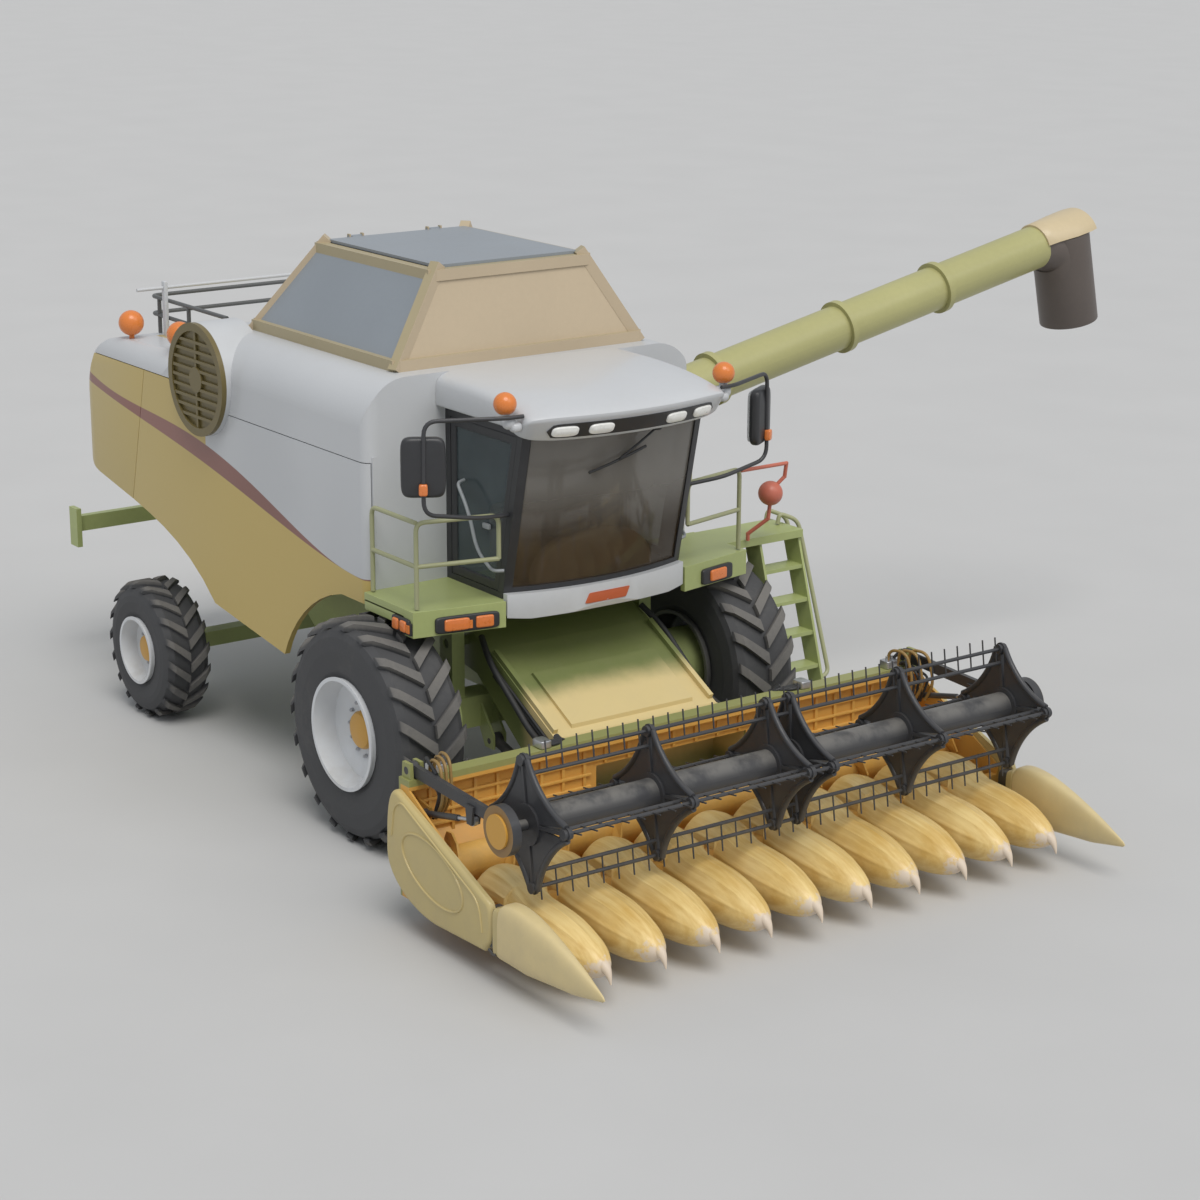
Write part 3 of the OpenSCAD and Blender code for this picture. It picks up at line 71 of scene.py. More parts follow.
# axes of a flat piece: along, up, and the way that it faces
FACING_FRONT = np.array([(0, 1, 0), (0, 0, 1), (1, 0, 0)])
FACING_LEFT = np.array([(1, 0, 0), (0, 0, 1), (0, 1, 0)])
FACING_RIGHT = np.array([(1, 0, 0), (0, 0, 1), (0, -1, 0)])


# Shading

class Signal:
    """A socket of a node tree. Python operators on it make math nodes, and make() adds any other node."""

    def __init__(self, tree, socket):
        self.tree, self.socket = tree, socket

    def make(self, kind, sockets=(), settings=(), out=0):
        """Adds a node: its settings first, then the values or links of its sockets."""
        node = self.tree.nodes.new(kind)
        for key, value in dict(settings).items():
            setattr(node, key, value)
        for key, value in dict(sockets).items():
            if isinstance(value, Signal):
                self.tree.links.new(value.socket, node.inputs[key])
            else:
                node.inputs[key].default_value = value
        return Signal(self.tree, node.outputs[out])

    def math(self, operation, first, second=0.0):
        return self.make("ShaderNodeMath", {0: first, 1: second}, {"operation": operation})

    def __add__(self, other):
        return self.math("ADD", self, other)

    def __radd__(self, other):
        return self.math("ADD", other, self)

    def __sub__(self, other):
        return self.math("SUBTRACT", self, other)

    def __rsub__(self, other):
        return self.math("SUBTRACT", other, self)

    def __mul__(self, other):
        return self.math("MULTIPLY", self, other)

    def __rmul__(self, other):
        return self.math("MULTIPLY", other, self)

    def __pow__(self, other):
        return self.math("POWER", self, other)

    def __abs__(self):
        return self.math("ABSOLUTE", self)

    def sin(self):
        return self.math("SINE", self)

    def least(self, other):
        return self.math("MINIMUM", self, other)

    def step(self, low, high):
        """0 below low, 1 above high, smooth between."""
        return self.make("ShaderNodeMapRange", {"Value": self, "From Min": low, "From Max": high},
                         {"interpolation_type": "SMOOTHSTEP"})

    def mix(self, first, second):
        """The colour first where the signal is 0 and second where it is 1."""
        colour = [c if isinstance(c, Signal) else (*c, 1.0) for c in (first, second)]
        return self.make("ShaderNodeMix", {0: self, 6: colour[0], 7: colour[1]},
                         {"data_type": "RGBA"}, out=2)


class Finish:
    """One material: its signals of place, and the shader that they end in."""

    def __init__(self, name):
        self.material = bpy.data.materials.new(name)
        self.material.use_nodes = True
        self.tree = self.material.node_tree
        self.tree.nodes.clear()
        at = self.tree.nodes.new("ShaderNodeTexCoord")
        self.place = Signal(self.tree, at.outputs["Object"])
        parts = self.tree.nodes.new("ShaderNodeSeparateXYZ")
        self.tree.links.new(at.outputs["Object"], parts.inputs[0])
        axes = [Signal(self.tree, parts.outputs[k]) for k in range(3)]
        self.x, self.y, self.z = axes[0] - float(ORIGIN[0]), axes[1] - float(ORIGIN[1]), axes[2]
        facing = self.tree.nodes.new("ShaderNodeSeparateXYZ")
        shape = self.tree.nodes.new("ShaderNodeNewGeometry")
        self.tree.links.new(shape.outputs["Normal"], facing.inputs[0])
        self.up = Signal(self.tree, facing.outputs[2])
        self.front = Signal(self.tree, facing.outputs[0])

    def noise(self, scale, detail=3.0, rough=0.5, stretch=(1, 1, 1)):
        """Noise over the place, which may first be stretched along the axes."""
        place = self.place
        if stretch != (1, 1, 1):
            place = place.make("ShaderNodeVectorMath", {0: place, 1: stretch}, {"operation": "MULTIPLY"})
        return place.make("ShaderNodeTexNoise", {"Vector": place, "Scale": scale, "Detail": detail,
                                                 "Roughness": rough})

    def done(self, colour, rough, height=None, strength=0.2, distance=0.004, metal=0.0, coat=0.0, alpha=None,
             glow=None, fixed=()):
        """Ends the material in one shader. height is the relief, and fixed holds sockets that stay constant."""
        tree = self.tree
        out = tree.nodes.new("ShaderNodeOutputMaterial")
        shader = tree.nodes.new("ShaderNodeBsdfPrincipled")
        sockets = {"Base Color": colour, "Roughness": rough, "Metallic": metal, "Coat Weight": coat}
        if alpha is not None:
            sockets["Alpha"] = alpha
        if glow is not None:
            sockets["Emission Color"] = glow
        if height is not None:
            sockets["Normal"] = height.make("ShaderNodeBump", {"Height": height, "Strength": strength,
                                                               "Distance": distance})
        sockets.update(fixed)
        for key, value in sockets.items():
            if isinstance(value, Signal):
                tree.links.new(value.socket, shader.inputs[key])
            else:
                shader.inputs[key].default_value = value
        tree.links.new(shader.outputs[0], out.inputs[0])
        return self.material


WHITE = (0.555, 0.57, 0.585)
SAND = (0.53, 0.43, 0.295)
RIM = (0.66, 0.68, 0.70)
HUB = (0.62, 0.33, 0.05)
REEL = (0.042, 0.043, 0.047)
DUST = (0.36, 0.31, 0.23)
# near black of the painted shade on the rims' inner sides
RIM_SHADE = (0.10, 0.10, 0.095)


def shade(colour, factor):
    """A colour times a factor, up to white."""
    return tuple(min(1.0, c * factor) for c in colour)


def edge(signal, place, soft=0.002):
    """1 where the signal is past a place, with a narrow soft edge."""
    return signal.step(place - soft, place + soft)


def distance(f, axle):
    """Distance from a line along y: the root of the squares of x and z from it."""
    across, over = f.x - axle[0], f.z - axle[1]
    return (across * across + over * over) ** 0.5


def within(f, axle, radius):
    """1 within a radius of a line along y."""
    return 1.0 - edge(distance(f, axle), radius)


def worn(f, colour, vary, dust, low=1.3):
    """A paint colour with broad fading and with dust that gathers low down and on faces that look up. Gives the
    colour, the dust and the fine noise. A colour that is a signal has its own fading."""
    broad = f.noise(0.8, 2.0)
    fine = f.noise(22.0, 4.0, 0.6)
    tone = (0.65 * broad + 0.35 * fine).step(0.25, 0.75)
    base = colour if isinstance(colour, Signal) else tone.mix(shade(colour, 1 - vary), shade(colour, 1 + vary))
    settled = (1.0 - f.z.step(0.1, low)) * 0.8 + f.up.step(0.5, 1.0) * 0.25
    amount = (settled * f.noise(5.0, 4.0, 0.65).step(0.3, 0.75) * dust).least(1.0)
    return amount.mix(base, DUST), amount, fine


def enamel(f, colour, rough, vary=0.0, dust=0.25, coat=0.15, grain=60.0, strength=0.03, spread=0.14):
    """Ends a paint: its roughness spreads with the fine noise and grows with the dust, over a fine grain."""
    tone, amount, fine = worn(f, colour, vary, dust)
    dull = rough + spread * (fine - 0.5) + 0.3 * amount
    return f.done(tone, dull, f.noise(grain, 2.0), strength, coat=coat)


def paint(name, colour, rough, vary, dust, coat=0.15, grain=70.0, strength=0.03):
    """One paint all over."""
    return enamel(Finish(name), colour, rough, vary, dust, coat, grain, strength)


def two_colours(name, first, second, mask, rough):
    """Two colours on one piece, parted by a mask: mostly two paints parted by place, but for the tank frame one
    beige parted by facing into painted light and painted shade.
    """
    f = Finish(name)
    fade = f.noise(1.3, 3.0)
    faded = [fade.mix(shade(colour, 0.92), shade(colour, 1.06)) for colour in (first, second)]
    return enamel(f, mask(f).mix(*faded), rough)


def flank_paint(name, upper):
    """The body's colours: white over tan with a swept band between them. The band's edges are fourth-degree
    curves of z over x. upper is for the shell, which is white with a tan patch on the engine deck."""
    f = Finish(name)
    band_top = np.polyfit([-5.10, -4.10, -3.145, -2.37, -1.74, -0.79, -0.21],
                          [2.97, 2.816, 2.739, 2.569, 2.427, 2.12, 2.083], 4)
    band_low = np.polyfit([-5.16, -4.15, -3.32, -2.40, -1.75, -0.79, -0.21],
                          [2.892, 2.729, 2.581, 2.425, 2.322, 2.103, 2.075], 4)
    hood_seam, soft = 2.86, 0.004

    def curve(coefficients):
        """The curve's height, by Horner's rule."""
        total = float(coefficients[0])
        for c in coefficients[1:]:
            total = f.x * total + float(c)
        return total

    over = (f.z - curve(band_top)).step(-soft, soft)
    under = (f.z - curve(band_low)).step(-soft, soft)
    fade = f.noise(0.5, 2.0).step(0.3, 0.7)
    white = fade.mix((0.51, 0.525, 0.54), (0.57, 0.585, 0.60))
    tan = (f.x * -1.0).step(2.0, 5.2).mix((0.545, 0.405, 0.120), (0.545, 0.425, 0.165))
    band = fade.mix((0.22, 0.095, 0.075), (0.28, 0.125, 0.10))
    above = (f.x * -1.0 - hood_seam).step(-soft, soft).mix(white, tan)
    colour = under.mix(tan, over.mix(band, above))
    if upper:
        patch = f.up.step(0.7, 0.9)
        for inside in (f.x * -1.0 - 3.45, 4.55 + f.x, 1.2 + f.y, -0.2 - f.y):
            patch = patch * inside.step(-0.01, 0.01)
        colour = patch.mix(white, (0.56, 0.45, 0.20))
    return enamel(f, colour, 0.40, dust=0.22, coat=0.2, strength=0.025, spread=0.12)


def feeder_paint(name):
    """Green that pales to straw dust towards the front of the sloping house."""
    f = Finish(name)
    pale = (f.x.step(0.52, 1.16) * (f.z.step(0.55, 0.85) * 0.6 + 0.4)
            + 0.3 * (f.noise(3.0, 4.0, 0.6) - 0.5)).step(0.25, 0.8)
    colour = pale.mix((0.165, 0.195, 0.065), (0.66, 0.53, 0.255))
    tone, _, fine = worn(f, colour, vary=0.0, dust=0.3, low=1.0)
    return f.done(tone, 0.48 + 0.2 * pale + 0.1 * (fine - 0.5), f.noise(40.0, 3.0), 0.04, coat=0.1)


def rim_paint(name, axle, hub, inside):
    """A pale rim with an orange hub, and painted shade on the side that faces the axle."""
    f = Finish(name)
    face = within(f, axle, hub).mix(RIM, HUB)
    # painted shade: the rim is near black on its side that faces the axle, within the given distance of the
    # middle
    inner_shade = 1.0 - edge(abs(f.y), inside, 0.03)
    return enamel(f, inner_shade.mix(face, RIM_SHADE), 0.40, dust=0.35)


def reel_paint(name, tube_radius, cap):
    """Black reel paint, dusty on the tube's top, with orange caps on its ends."""
    f = Finish(name)
    tube_top = within(f, REEL_AXLE, tube_radius) * f.up.step(0.0, 0.9) * f.noise(4.0, 4.0, 0.6).step(0.3, 0.6)
    colour = edge(abs(f.y), cap).mix(tube_top.mix(REEL, (0.15, 0.145, 0.135)), HUB)
    return enamel(f, colour, 0.50)


def rubber(name, axle, casing, tread):
    """Tyre rubber: painted shade darkens it between the tread bars, and the bars' tops are lighter, partly from
    dust and partly painted light.
    """
    f = Finish(name)
    out = distance(f, axle).step(casing, tread)
    fine = f.noise(26.0, 4.0, 0.6)
    # painted shade: near black towards the groove floors at the casing's radius; the lighter bar tops are dust
    # together with painted light
    dust_and_shade = (out * 0.55 + 0.7 * (f.noise(2.2, 3.0) - 0.5) + 0.35 * (fine - 0.5)).step(0.0, 0.75)
    colour = dust_and_shade.mix((0.058, 0.059, 0.062), (0.170, 0.162, 0.150))
    return f.done(colour, 0.66 + 0.2 * dust_and_shade, f.noise(110.0, 3.0), 0.08)


def glassy(name, tint, alpha, rough=0.04):
    """Tinted glass with faint smears that make it duller and less clear."""
    f = Finish(name)
    smear = f.noise(3.5, 4.0, 0.6).step(0.4, 0.85)
    return f.done(smear.mix(tint, shade(tint, 1.4)), rough + 0.10 * smear, alpha=alpha + 0.08 * smear,
                  coat=0.3, fixed={"Specular IOR Level": 0.5})


def screen_glass(name):
    """Windscreen glass, pale grey above and brown towards its foot."""
    f = Finish(name)
    smear = f.noise(3.0, 4.0, 0.6).step(0.4, 0.85)
    foot = (f.z + 0.25 * f.noise(1.2, 3.0)).step(2.45, 3.05)
    colour = foot.mix((0.080, 0.058, 0.036), (0.235, 0.222, 0.20))
    return f.done(colour, 0.06 + 0.08 * smear, alpha=0.40 + 0.30 * foot + 0.05 * smear, coat=0.3)


def lens(name, colour, glow):
    """A lamp's lens with fine ribs across y, as a sine, and a faint glow."""
    f = Finish(name)
    fine = f.noise(35.0, 3.0)
    ribs = (f.y * 260.0).sin() * 0.5 + 0.5
    return f.done(fine.mix(shade(colour, 0.85), shade(colour, 1.1)), 0.22 + 0.15 * fine, ribs, 0.08, 0.003,
                  coat=0.5, glow=(*colour, 1.0), fixed={"Emission Strength": glow})


def metal(name, colour, rough=0.34):
    """Bare metal with fine scratches along y."""
    f = Finish(name)
    scratch = f.noise(60.0, 4.0, 0.6, (1.0, 6.0, 1.0))
    return f.done(scratch.mix(shade(colour, 0.8), shade(colour, 1.1)), rough + 0.2 * (scratch - 0.5), scratch,
                  0.05, 0.003, metal=0.85)


def snout_paint(name):
    """Warm yellow plastic, streaked lengthwise, with rubbed pale fronts."""
    f = Finish(name)
    worn_off = f.x.step(3.46, 3.86) - 0.5 * f.z.step(0.30, 0.46) + 1.5 * (f.noise(13.0, 5.0, 0.7) - 0.5)
    rub = worn_off.step(0.50, 0.80) * 0.9
    broad = f.noise(2.2, 3.0)
    streak = f.noise(11.0, 4.0, 0.65, (0.12, 3.0, 1.0))
    base = (0.5 * broad + 0.5 * streak).step(0.3, 0.7).mix((0.63, 0.40, 0.105), (0.84, 0.645, 0.285))
    colour = rub.mix(base, (0.68, 0.58, 0.48))
    return f.done(colour, 0.42 + 0.2 * rub + 0.1 * (streak - 0.5), f.noise(30.0, 3.0), 0.04, coat=0.15)


LOOK = {
    "white": paint("white paint", WHITE, rough=0.36, vary=0.03, dust=0.12, coat=0.25),
    "shell": flank_paint("white shell paint", True),
    "flank": flank_paint("white and tan paint", False),
    "green": paint("leaf green paint", (0.385, 0.44, 0.175), rough=0.45, vary=0.08, dust=0.22),
    "olive": paint("pale olive paint", (0.42, 0.405, 0.175), rough=0.45, vary=0.06, dust=0.2),
    # painted light: the tank frame's faces that look forward take the paler sand as lit faces, and its other
    # faces the darker beige as shaded ones
    "beige": two_colours("beige paint with painted light", (0.42, 0.355, 0.215), SAND, lambda f: edge(f.front, 0.4, 0.05), 0.48),
    "sand": paint("sand panel paint", SAND, rough=0.50, vary=0.04, dust=0.15),
    "grey": paint("grey sheet paint", (0.26, 0.29, 0.32), rough=0.42, vary=0.05, dust=0.2),
    "shield": two_colours("straw plastic", (0.56, 0.45, 0.195), (0.68, 0.55, 0.28),
                        lambda f: edge(f.x, 3.0715), 0.46),
    "dark": paint("dark plastic", (0.030, 0.031, 0.034), rough=0.46, vary=0.12, dust=0.2),
    "reel": paint("black reel paint", REEL, rough=0.50, vary=0.15, dust=0.35),
    "drive_rim": rim_paint("drive rim paint", DRIVE_AXLE, hub=0.152, inside=1.60),
    "steer_rim": rim_paint("steer rim paint", STEER_AXLE, hub=0.107, inside=1.58),
    "reel_cap": reel_paint("reel paint with capped ends", tube_radius=0.118, cap=2.5383),
    "spout": paint("brown rubber", (0.115, 0.094, 0.082), rough=0.55, vary=0.1, dust=0.1),
    "cover": paint("beige sheet paint", (0.60, 0.49, 0.305), rough=0.45, vary=0.05, dust=0.1),
    "header": two_colours("header paint", (0.30, 0.31, 0.11), (0.68, 0.37, 0.075),
                        lambda f: edge(f.x, 1.712) * (1.0 - edge(f.z, 1.12)), 0.5),
    "beacon": two_colours("beacon paint", (0.74, 0.22, 0.045), WHITE,
                        lambda f: edge(f.z, 3.45) * (1.0 - edge(f.z, 3.572)) * edge(f.x, 0.8), 0.28),
    "hub": paint("orange hub paint", HUB, rough=0.40, vary=0.05, dust=0.15),
    "feeder": feeder_paint("dusted green paint"),
    "snout": snout_paint("rubbed yellow plastic"),
    "amber_wall": paint("amber paint", (0.70, 0.40, 0.085), rough=0.5, vary=0.12, dust=0.25),
    "rubber": rubber("drive tyre rubber", DRIVE_AXLE, casing=0.86, tread=0.905),
    "steer_rubber": rubber("steer tyre rubber", STEER_AXLE, casing=0.585, tread=0.618),
    "glass": screen_glass("brown tinted glass"),
    "clear": glassy("blue tinted glass", (0.10, 0.13, 0.14), alpha=0.42),
    "amber": lens("amber lens", (0.72, 0.20, 0.045), glow=0.05),
    "red": paint("red paint", (0.54, 0.15, 0.095), rough=0.45, vary=0.08, dust=0.15),
    "plate": paint("orange red paint", (0.52, 0.115, 0.04), rough=0.4, vary=0.06, dust=0.1),
    "steel": metal("bright steel", (0.55, 0.56, 0.58)),
    "lamp": lens("clear lens", (0.75, 0.75, 0.72), glow=0.1),
    "brass": two_colours("screen paint", WHITE, (0.155, 0.12, 0.04), lambda f: edge(f.y * -1.0, 1.655), 0.42),
    "rail": two_colours("rail paint", (0.36, 0.37, 0.21), (0.10, 0.105, 0.105),
                      lambda f: edge(f.x * -1.0, 2.0), 0.45),
    "hose": paint("hose rubber", (0.022, 0.023, 0.025), rough=0.6, vary=0.15, dust=0.2),
    "tubes": paint("grey tube paint", (0.30, 0.32, 0.33), rough=0.4, vary=0.05, dust=0.1),
    "trim": paint("brown trim", (0.21, 0.14, 0.072), rough=0.6, vary=0.1, dust=0.1),
    "loop": paint("brown hose rubber", (0.30, 0.185, 0.055), rough=0.55, vary=0.1, dust=0.2),
    "seat": paint("seat cloth", (0.17, 0.12, 0.075), rough=0.85, vary=0.2, dust=0.1, coat=0.0, grain=300.0,
                  strength=0.2),
}

NODE_LOOK = {
    "green": ["chassis_frame", "drive_axle", "thresher_housing", "steer_axle", "knuckle_left", "knuckle_right",
              "rear_beam", "cab_deck", "ladder"],
    "rail": ["hand_rails"],
    "shell": ["upper_shell"],
    "flank": ["side_panel_right", "side_panel_left", "rear_hood"],
    "dark": ["engine_block", "straw_chopper", "cab_tub", "cab_frame", "mirrors", "door_left", "window_right",
             "lamp_housings"],
    "spout": ["unloader_spout"],
    "seat": ["cab_interior"],
    "grey": ["grain_tank", "tank_side_panels", "tank_lid"],
    "brass": ["air_screen"],
    "beige": ["tank_frame"],
    "sand": ["tank_end_panels"],
    "white": ["cab_roof", "front_sill"],
    "glass": ["cab_glass"],
    "clear": ["door_glass_left", "window_glass_right"],
    "beacon": ["amber_lamps"],
    "lamp": ["roof_lamps"],
    "red": ["marker_ball"],
    "rubber": ["drive_tyre_left", "drive_tyre_right"],
    "steer_rubber": ["steer_tyre_left", "steer_tyre_right"],
    "drive_rim": ["drive_rim_left", "drive_rim_right"],
    "steer_rim": ["steer_rim_left", "steer_rim_right"],
    "steel": ["tie_rod", "lift_rods", "reel_rods"],
    "feeder": ["feeder_house"],
    "header": ["header_frame"],
    "olive": ["unloader_tube", "unloader_base"],
    "shield": ["header_ends"],
    "snout": ["row_snouts"],
    "reel": ["lift_barrels", "reel_arms", "reel_barrels"],
    "reel_cap": ["reel"],
    "amber_wall": ["cross_auger"],
}
for look, names in NODE_LOOK.items():
    for name in names:
        nodes[name].data.materials.clear()
        nodes[name].data.materials.append(LOOK[look])


# Surfaces

def grid(rows):
    """Points and faces of rows of points: each row closes on itself and joins the next, and the first and last
    rows are capped."""
    rows = np.asarray(rows, float)
    m, n = rows.shape[:2]
    i, j = np.arange(m - 1)[:, None] * n, np.arange(n)[None, :]
    k = (j + 1) % n
    faces = np.stack([i + j, i + k, i + n + k, i + n + j], axis=-1).reshape(-1, 4).tolist()
    faces += [list(range(n))[::-1], list(range((m - 1) * n, m * n))]
    return rows.reshape(-1, 3), faces


def piece(name, parts, look, body):
    """One object made of several grids, with its faces turned outwards, that rides a body."""
    points, faces, count = [], [], 0
    for where, joined in parts:
        points.append(where + ORIGIN)
        faces += [[v + count for v in face] for face in joined]
        count += len(where)
    mesh = bpy.data.meshes.new(name)
    mesh.from_pydata(np.concatenate(points).tolist(), [], faces)
    shape = bmesh.new()
    shape.from_mesh(mesh)
    bmesh.ops.recalc_face_normals(shape, faces=shape.faces)
    shape.to_mesh(mesh)
    shape.free()
    mesh.polygons.foreach_set("use_smooth", np.ones(len(mesh.polygons), bool))
    mesh.set_sharp_from_angle(angle=math.radians(40))
    mesh.materials.append(LOOK[look])
    made = bpy.data.objects.new(name, mesh)
    bpy.context.scene.collection.objects.link(made)
    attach(made, body)
    return made


def bend(corners, reach, steps=7):
    """A path whose inner corners become quadratic arcs that start and end a reach away from the corner."""
    p = np.asarray(corners, float)
    here = p[1:-1]
    back, on = p[:-2] - here, p[2:] - here
    back_l, on_l = np.linalg.norm(back, axis=1, keepdims=True), np.linalg.norm(on, axis=1, keepdims=True)
    reach = np.minimum(reach, 0.48 * np.minimum(back_l, on_l))
    start, end = here + back / back_l * reach, here + on / on_l * reach
    t = np.linspace(0, 1, steps)[None, :, None]
    arcs = (1 - t) ** 2 * start[:, None] + 2 * t * (1 - t) * here[:, None] + t ** 2 * end[:, None]
    return np.concatenate([p[:1], arcs.reshape(-1, 3), p[-1:]])


def tube(path, radius, sides=12):
    """A circle carried along a path: path point + radius (cos a side + sin a over), where side and over lie
    across the path. side is at right angles to the trial direction that the path runs along least."""
    path = np.asarray(path, float)
    radius = np.broadcast_to(radius, len(path))[:, None, None]
    along = np.gradient(path, axis=0)
    along /= np.linalg.norm(along, axis=1, keepdims=True)
    tries = np.array([(1, 0, 0), (0, 1, 0), (0, 0, 1), (1, 1, 0), (1, 0, 1), (0, 1, 1), (1, -1, 0.5),
                      (0.3, 1, -0.7)], float)
    least = np.linalg.norm(np.cross(along[:, None], tries[None]), axis=2).min(axis=0)
    side = np.cross(along, tries[np.argmax(least / np.linalg.norm(tries, axis=1))])
    side /= np.linalg.norm(side, axis=1, keepdims=True)
    over = np.cross(side, along)
    a = np.linspace(0, 2 * np.pi, sides, endpoint=False)[None, :, None]
    return grid(path[:, None] + radius * (np.cos(a) * side[:, None] + np.sin(a) * over[:, None]))


def hose(run, side, reach, radius, sides=12):
    """A tube along a bent run, which is given for the left and mirrored by the sign of its side."""
    return tube(bend(np.array(run, float) * (1, side, 1), reach), radius, sides)


def slab(centre, half, rim, corner=0.35, axes=np.eye(3), sides=32, steps=5, crown=0.0):
    """A rounded block: a superellipse outline (signed powers of cos and sin) in the first two axes, drawn in by
    a quarter-round rim at both ends of the third, whose end faces may rise to a crown."""
    a = np.linspace(0, 2 * np.pi, sides, endpoint=False) + np.pi / sides
    u, v = (np.sign(q) * np.abs(q) ** corner for q in (np.cos(a), np.sin(a)))
    turn = np.linspace(0, np.pi / 2, steps)
    inset, height = rim * (1 - np.sin(turn)), half[2] - rim * (1 - np.cos(turn))
    if crown:
        more = np.linspace(0.85, 0.1, 8)
        inset = np.concatenate([rim + more * (min(half[:2]) - rim), inset])
        height = np.concatenate([half[2] + crown * (1 - (1 - more) ** 2), height])
    inset, height = np.concatenate([inset, inset[::-1]]), np.concatenate([height, -height[::-1]])
    local = np.stack([(half[0] - inset)[:, None] * u, (half[1] - inset)[:, None] * v,
                      np.repeat(height[:, None], sides, axis=1)], axis=-1)
    return grid(np.asarray(centre, float) + local @ np.asarray(axes, float))


def turned(profile, centre, axis, sides=40):
    """A profile of radius and distance, turned round an axis through a centre."""
    axis = np.asarray(axis, float) / np.linalg.norm(axis)
    side = np.cross(axis, (0.36, 0.48, 0.8))
    side /= np.linalg.norm(side)
    over = np.cross(axis, side)
    a = np.linspace(0, 2 * np.pi, sides, endpoint=False)[None, :, None]
    r, d = (np.asarray(q, float)[:, None, None] for q in zip(*profile))
    return grid(np.asarray(centre, float) + d * axis + r * (np.cos(a) * side + np.sin(a) * over))


def bezier(points, steps):
    """A cubic curve from the first to the last of four points, drawn towards the two between them."""
    p = np.asarray(points, float)
    t = np.linspace(0, 1, steps)[:, None]
    return (1 - t) ** 3 * p[0] + 3 * t * (1 - t) ** 2 * p[1] + 3 * t ** 2 * (1 - t) * p[2] + t ** 3 * p[3]


def sections(x, y, half, mid, low, high, power, sides=48):
    """Rings across stations in x: y + half width times a signed power of sin a, and mid height plus or minus the
    height above or below it times a signed power of cos a. Gives the rings and their angles."""
    a = np.linspace(0, 2 * np.pi, sides, endpoint=False)[None, :]
    x, y, half, mid, low, high, power = (np.broadcast_to(q, np.shape(x))[:, None]
                                         for q in (x, y, half, mid, low, high, power))
    u, v = (np.sign(q) * np.abs(q) ** power for q in (np.sin(a), np.cos(a)))
    return np.stack([x + 0 * a, y + half * u, mid + np.where(v > 0, high - mid, mid - low) * v], axis=-1), a


# Cab

def bowed(y):
    """How far the cab's bowed front lies back at y: the sagitta of its arc."""
    return CAB_BOW - np.sqrt(CAB_BOW ** 2 - np.asarray(y, float) ** 2)


def screen(y, up, off):
    """Points on the bowed windscreen: foot + up along the lean, drawn back by the bow, off outwards."""
    lean, foot_x, foot_z = math.radians(12.3), 0.78, 2.0
    forward = off - bowed(y)
    return np.stack([foot_x + np.asarray(up) * math.sin(lean) + forward * math.cos(lean), np.asarray(y, float),
                     foot_z + np.asarray(up) * math.cos(lean) - forward * math.sin(lean)], axis=-1)


def cab_inside():
    """Seat, wheel and controls. Boxes are rounded slabs, the wheel is a circle with its radii in a tilted plane,
    the dash is an upright arch cut off at the floor, and the cushions are slabs with crowned faces."""
    floor = CAB_FLOOR
    seat_box = slab((0.21, 0.0, floor + 0.15), (0.20, 0.22, 0.15), 0.02)
    console = slab((0.225, -0.47, floor + 0.28), (0.225, 0.13, 0.28), 0.04)
    arm_rest = slab((0.30, -0.42, floor + 0.59), (0.13, 0.05, 0.03), 0.02)
    column = slab((0.58, 0.0, floor + 0.25), (0.055, 0.06, 0.25), 0.03)
    tilt, ring = math.radians(-30), 0.19
    axes = np.array([(math.cos(tilt), 0, -math.sin(tilt)), (0, 1, 0), (math.sin(tilt), 0, math.cos(tilt))])
    hub = np.array((0.56, 0.0, floor + 0.56))
    a = np.linspace(0, 2 * np.pi, 49)
    rim = hub + np.stack([ring * np.cos(a), ring * np.sin(a), 0 * a], axis=-1) @ axes
    parts = [seat_box, console, arm_rest, column, tube(rim, 0.016),
             slab(hub, (0.045, 0.045, 0.03), 0.01, 1.0, axes)]
    for b in (0.5, 2.6, 4.7):
        spoke = np.array([(0, 0, -0.01), (ring * math.cos(b), ring * math.sin(b), 0)])
        parts.append(tube(hub + spoke @ axes, 0.012, 8))
    parts.append(tube([hub - 0.02 * axes[2], hub - 0.14 * axes[2], (0.58, 0.0, floor + 0.42)], 0.03))
    dash, faces = slab((0.615, 0.0, floor + 0.03), (0.58, 0.37, 0.070), 0.05, 0.85, FACING_FRONT, 48)
    dash[:, 2] = np.maximum(dash[:, 2], floor + 0.002)
    parts.append((dash, faces))
    controls = piece("cab_controls", parts, "trim", "chassis")
    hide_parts("cab_interior")
    lean = math.radians(8)
    back_axes = np.array([(0, 1, 0), (-math.sin(lean), 0, math.cos(lean)), (math.cos(lean), 0, math.sin(lean))])
    cushion = slab((0.23, 0.0, floor + 0.365), (0.23, 0.25, 0.06), 0.045, 0.45, crown=0.02)
    back = slab((0.005, 0.0, floor + 0.74), (0.24, 0.32, 0.06), 0.05, 0.5, back_axes, crown=0.02)
    for name, part in (("seat_cushion", cushion), ("seat_back", back)):
        piece(name, [part], "seat", "chassis")


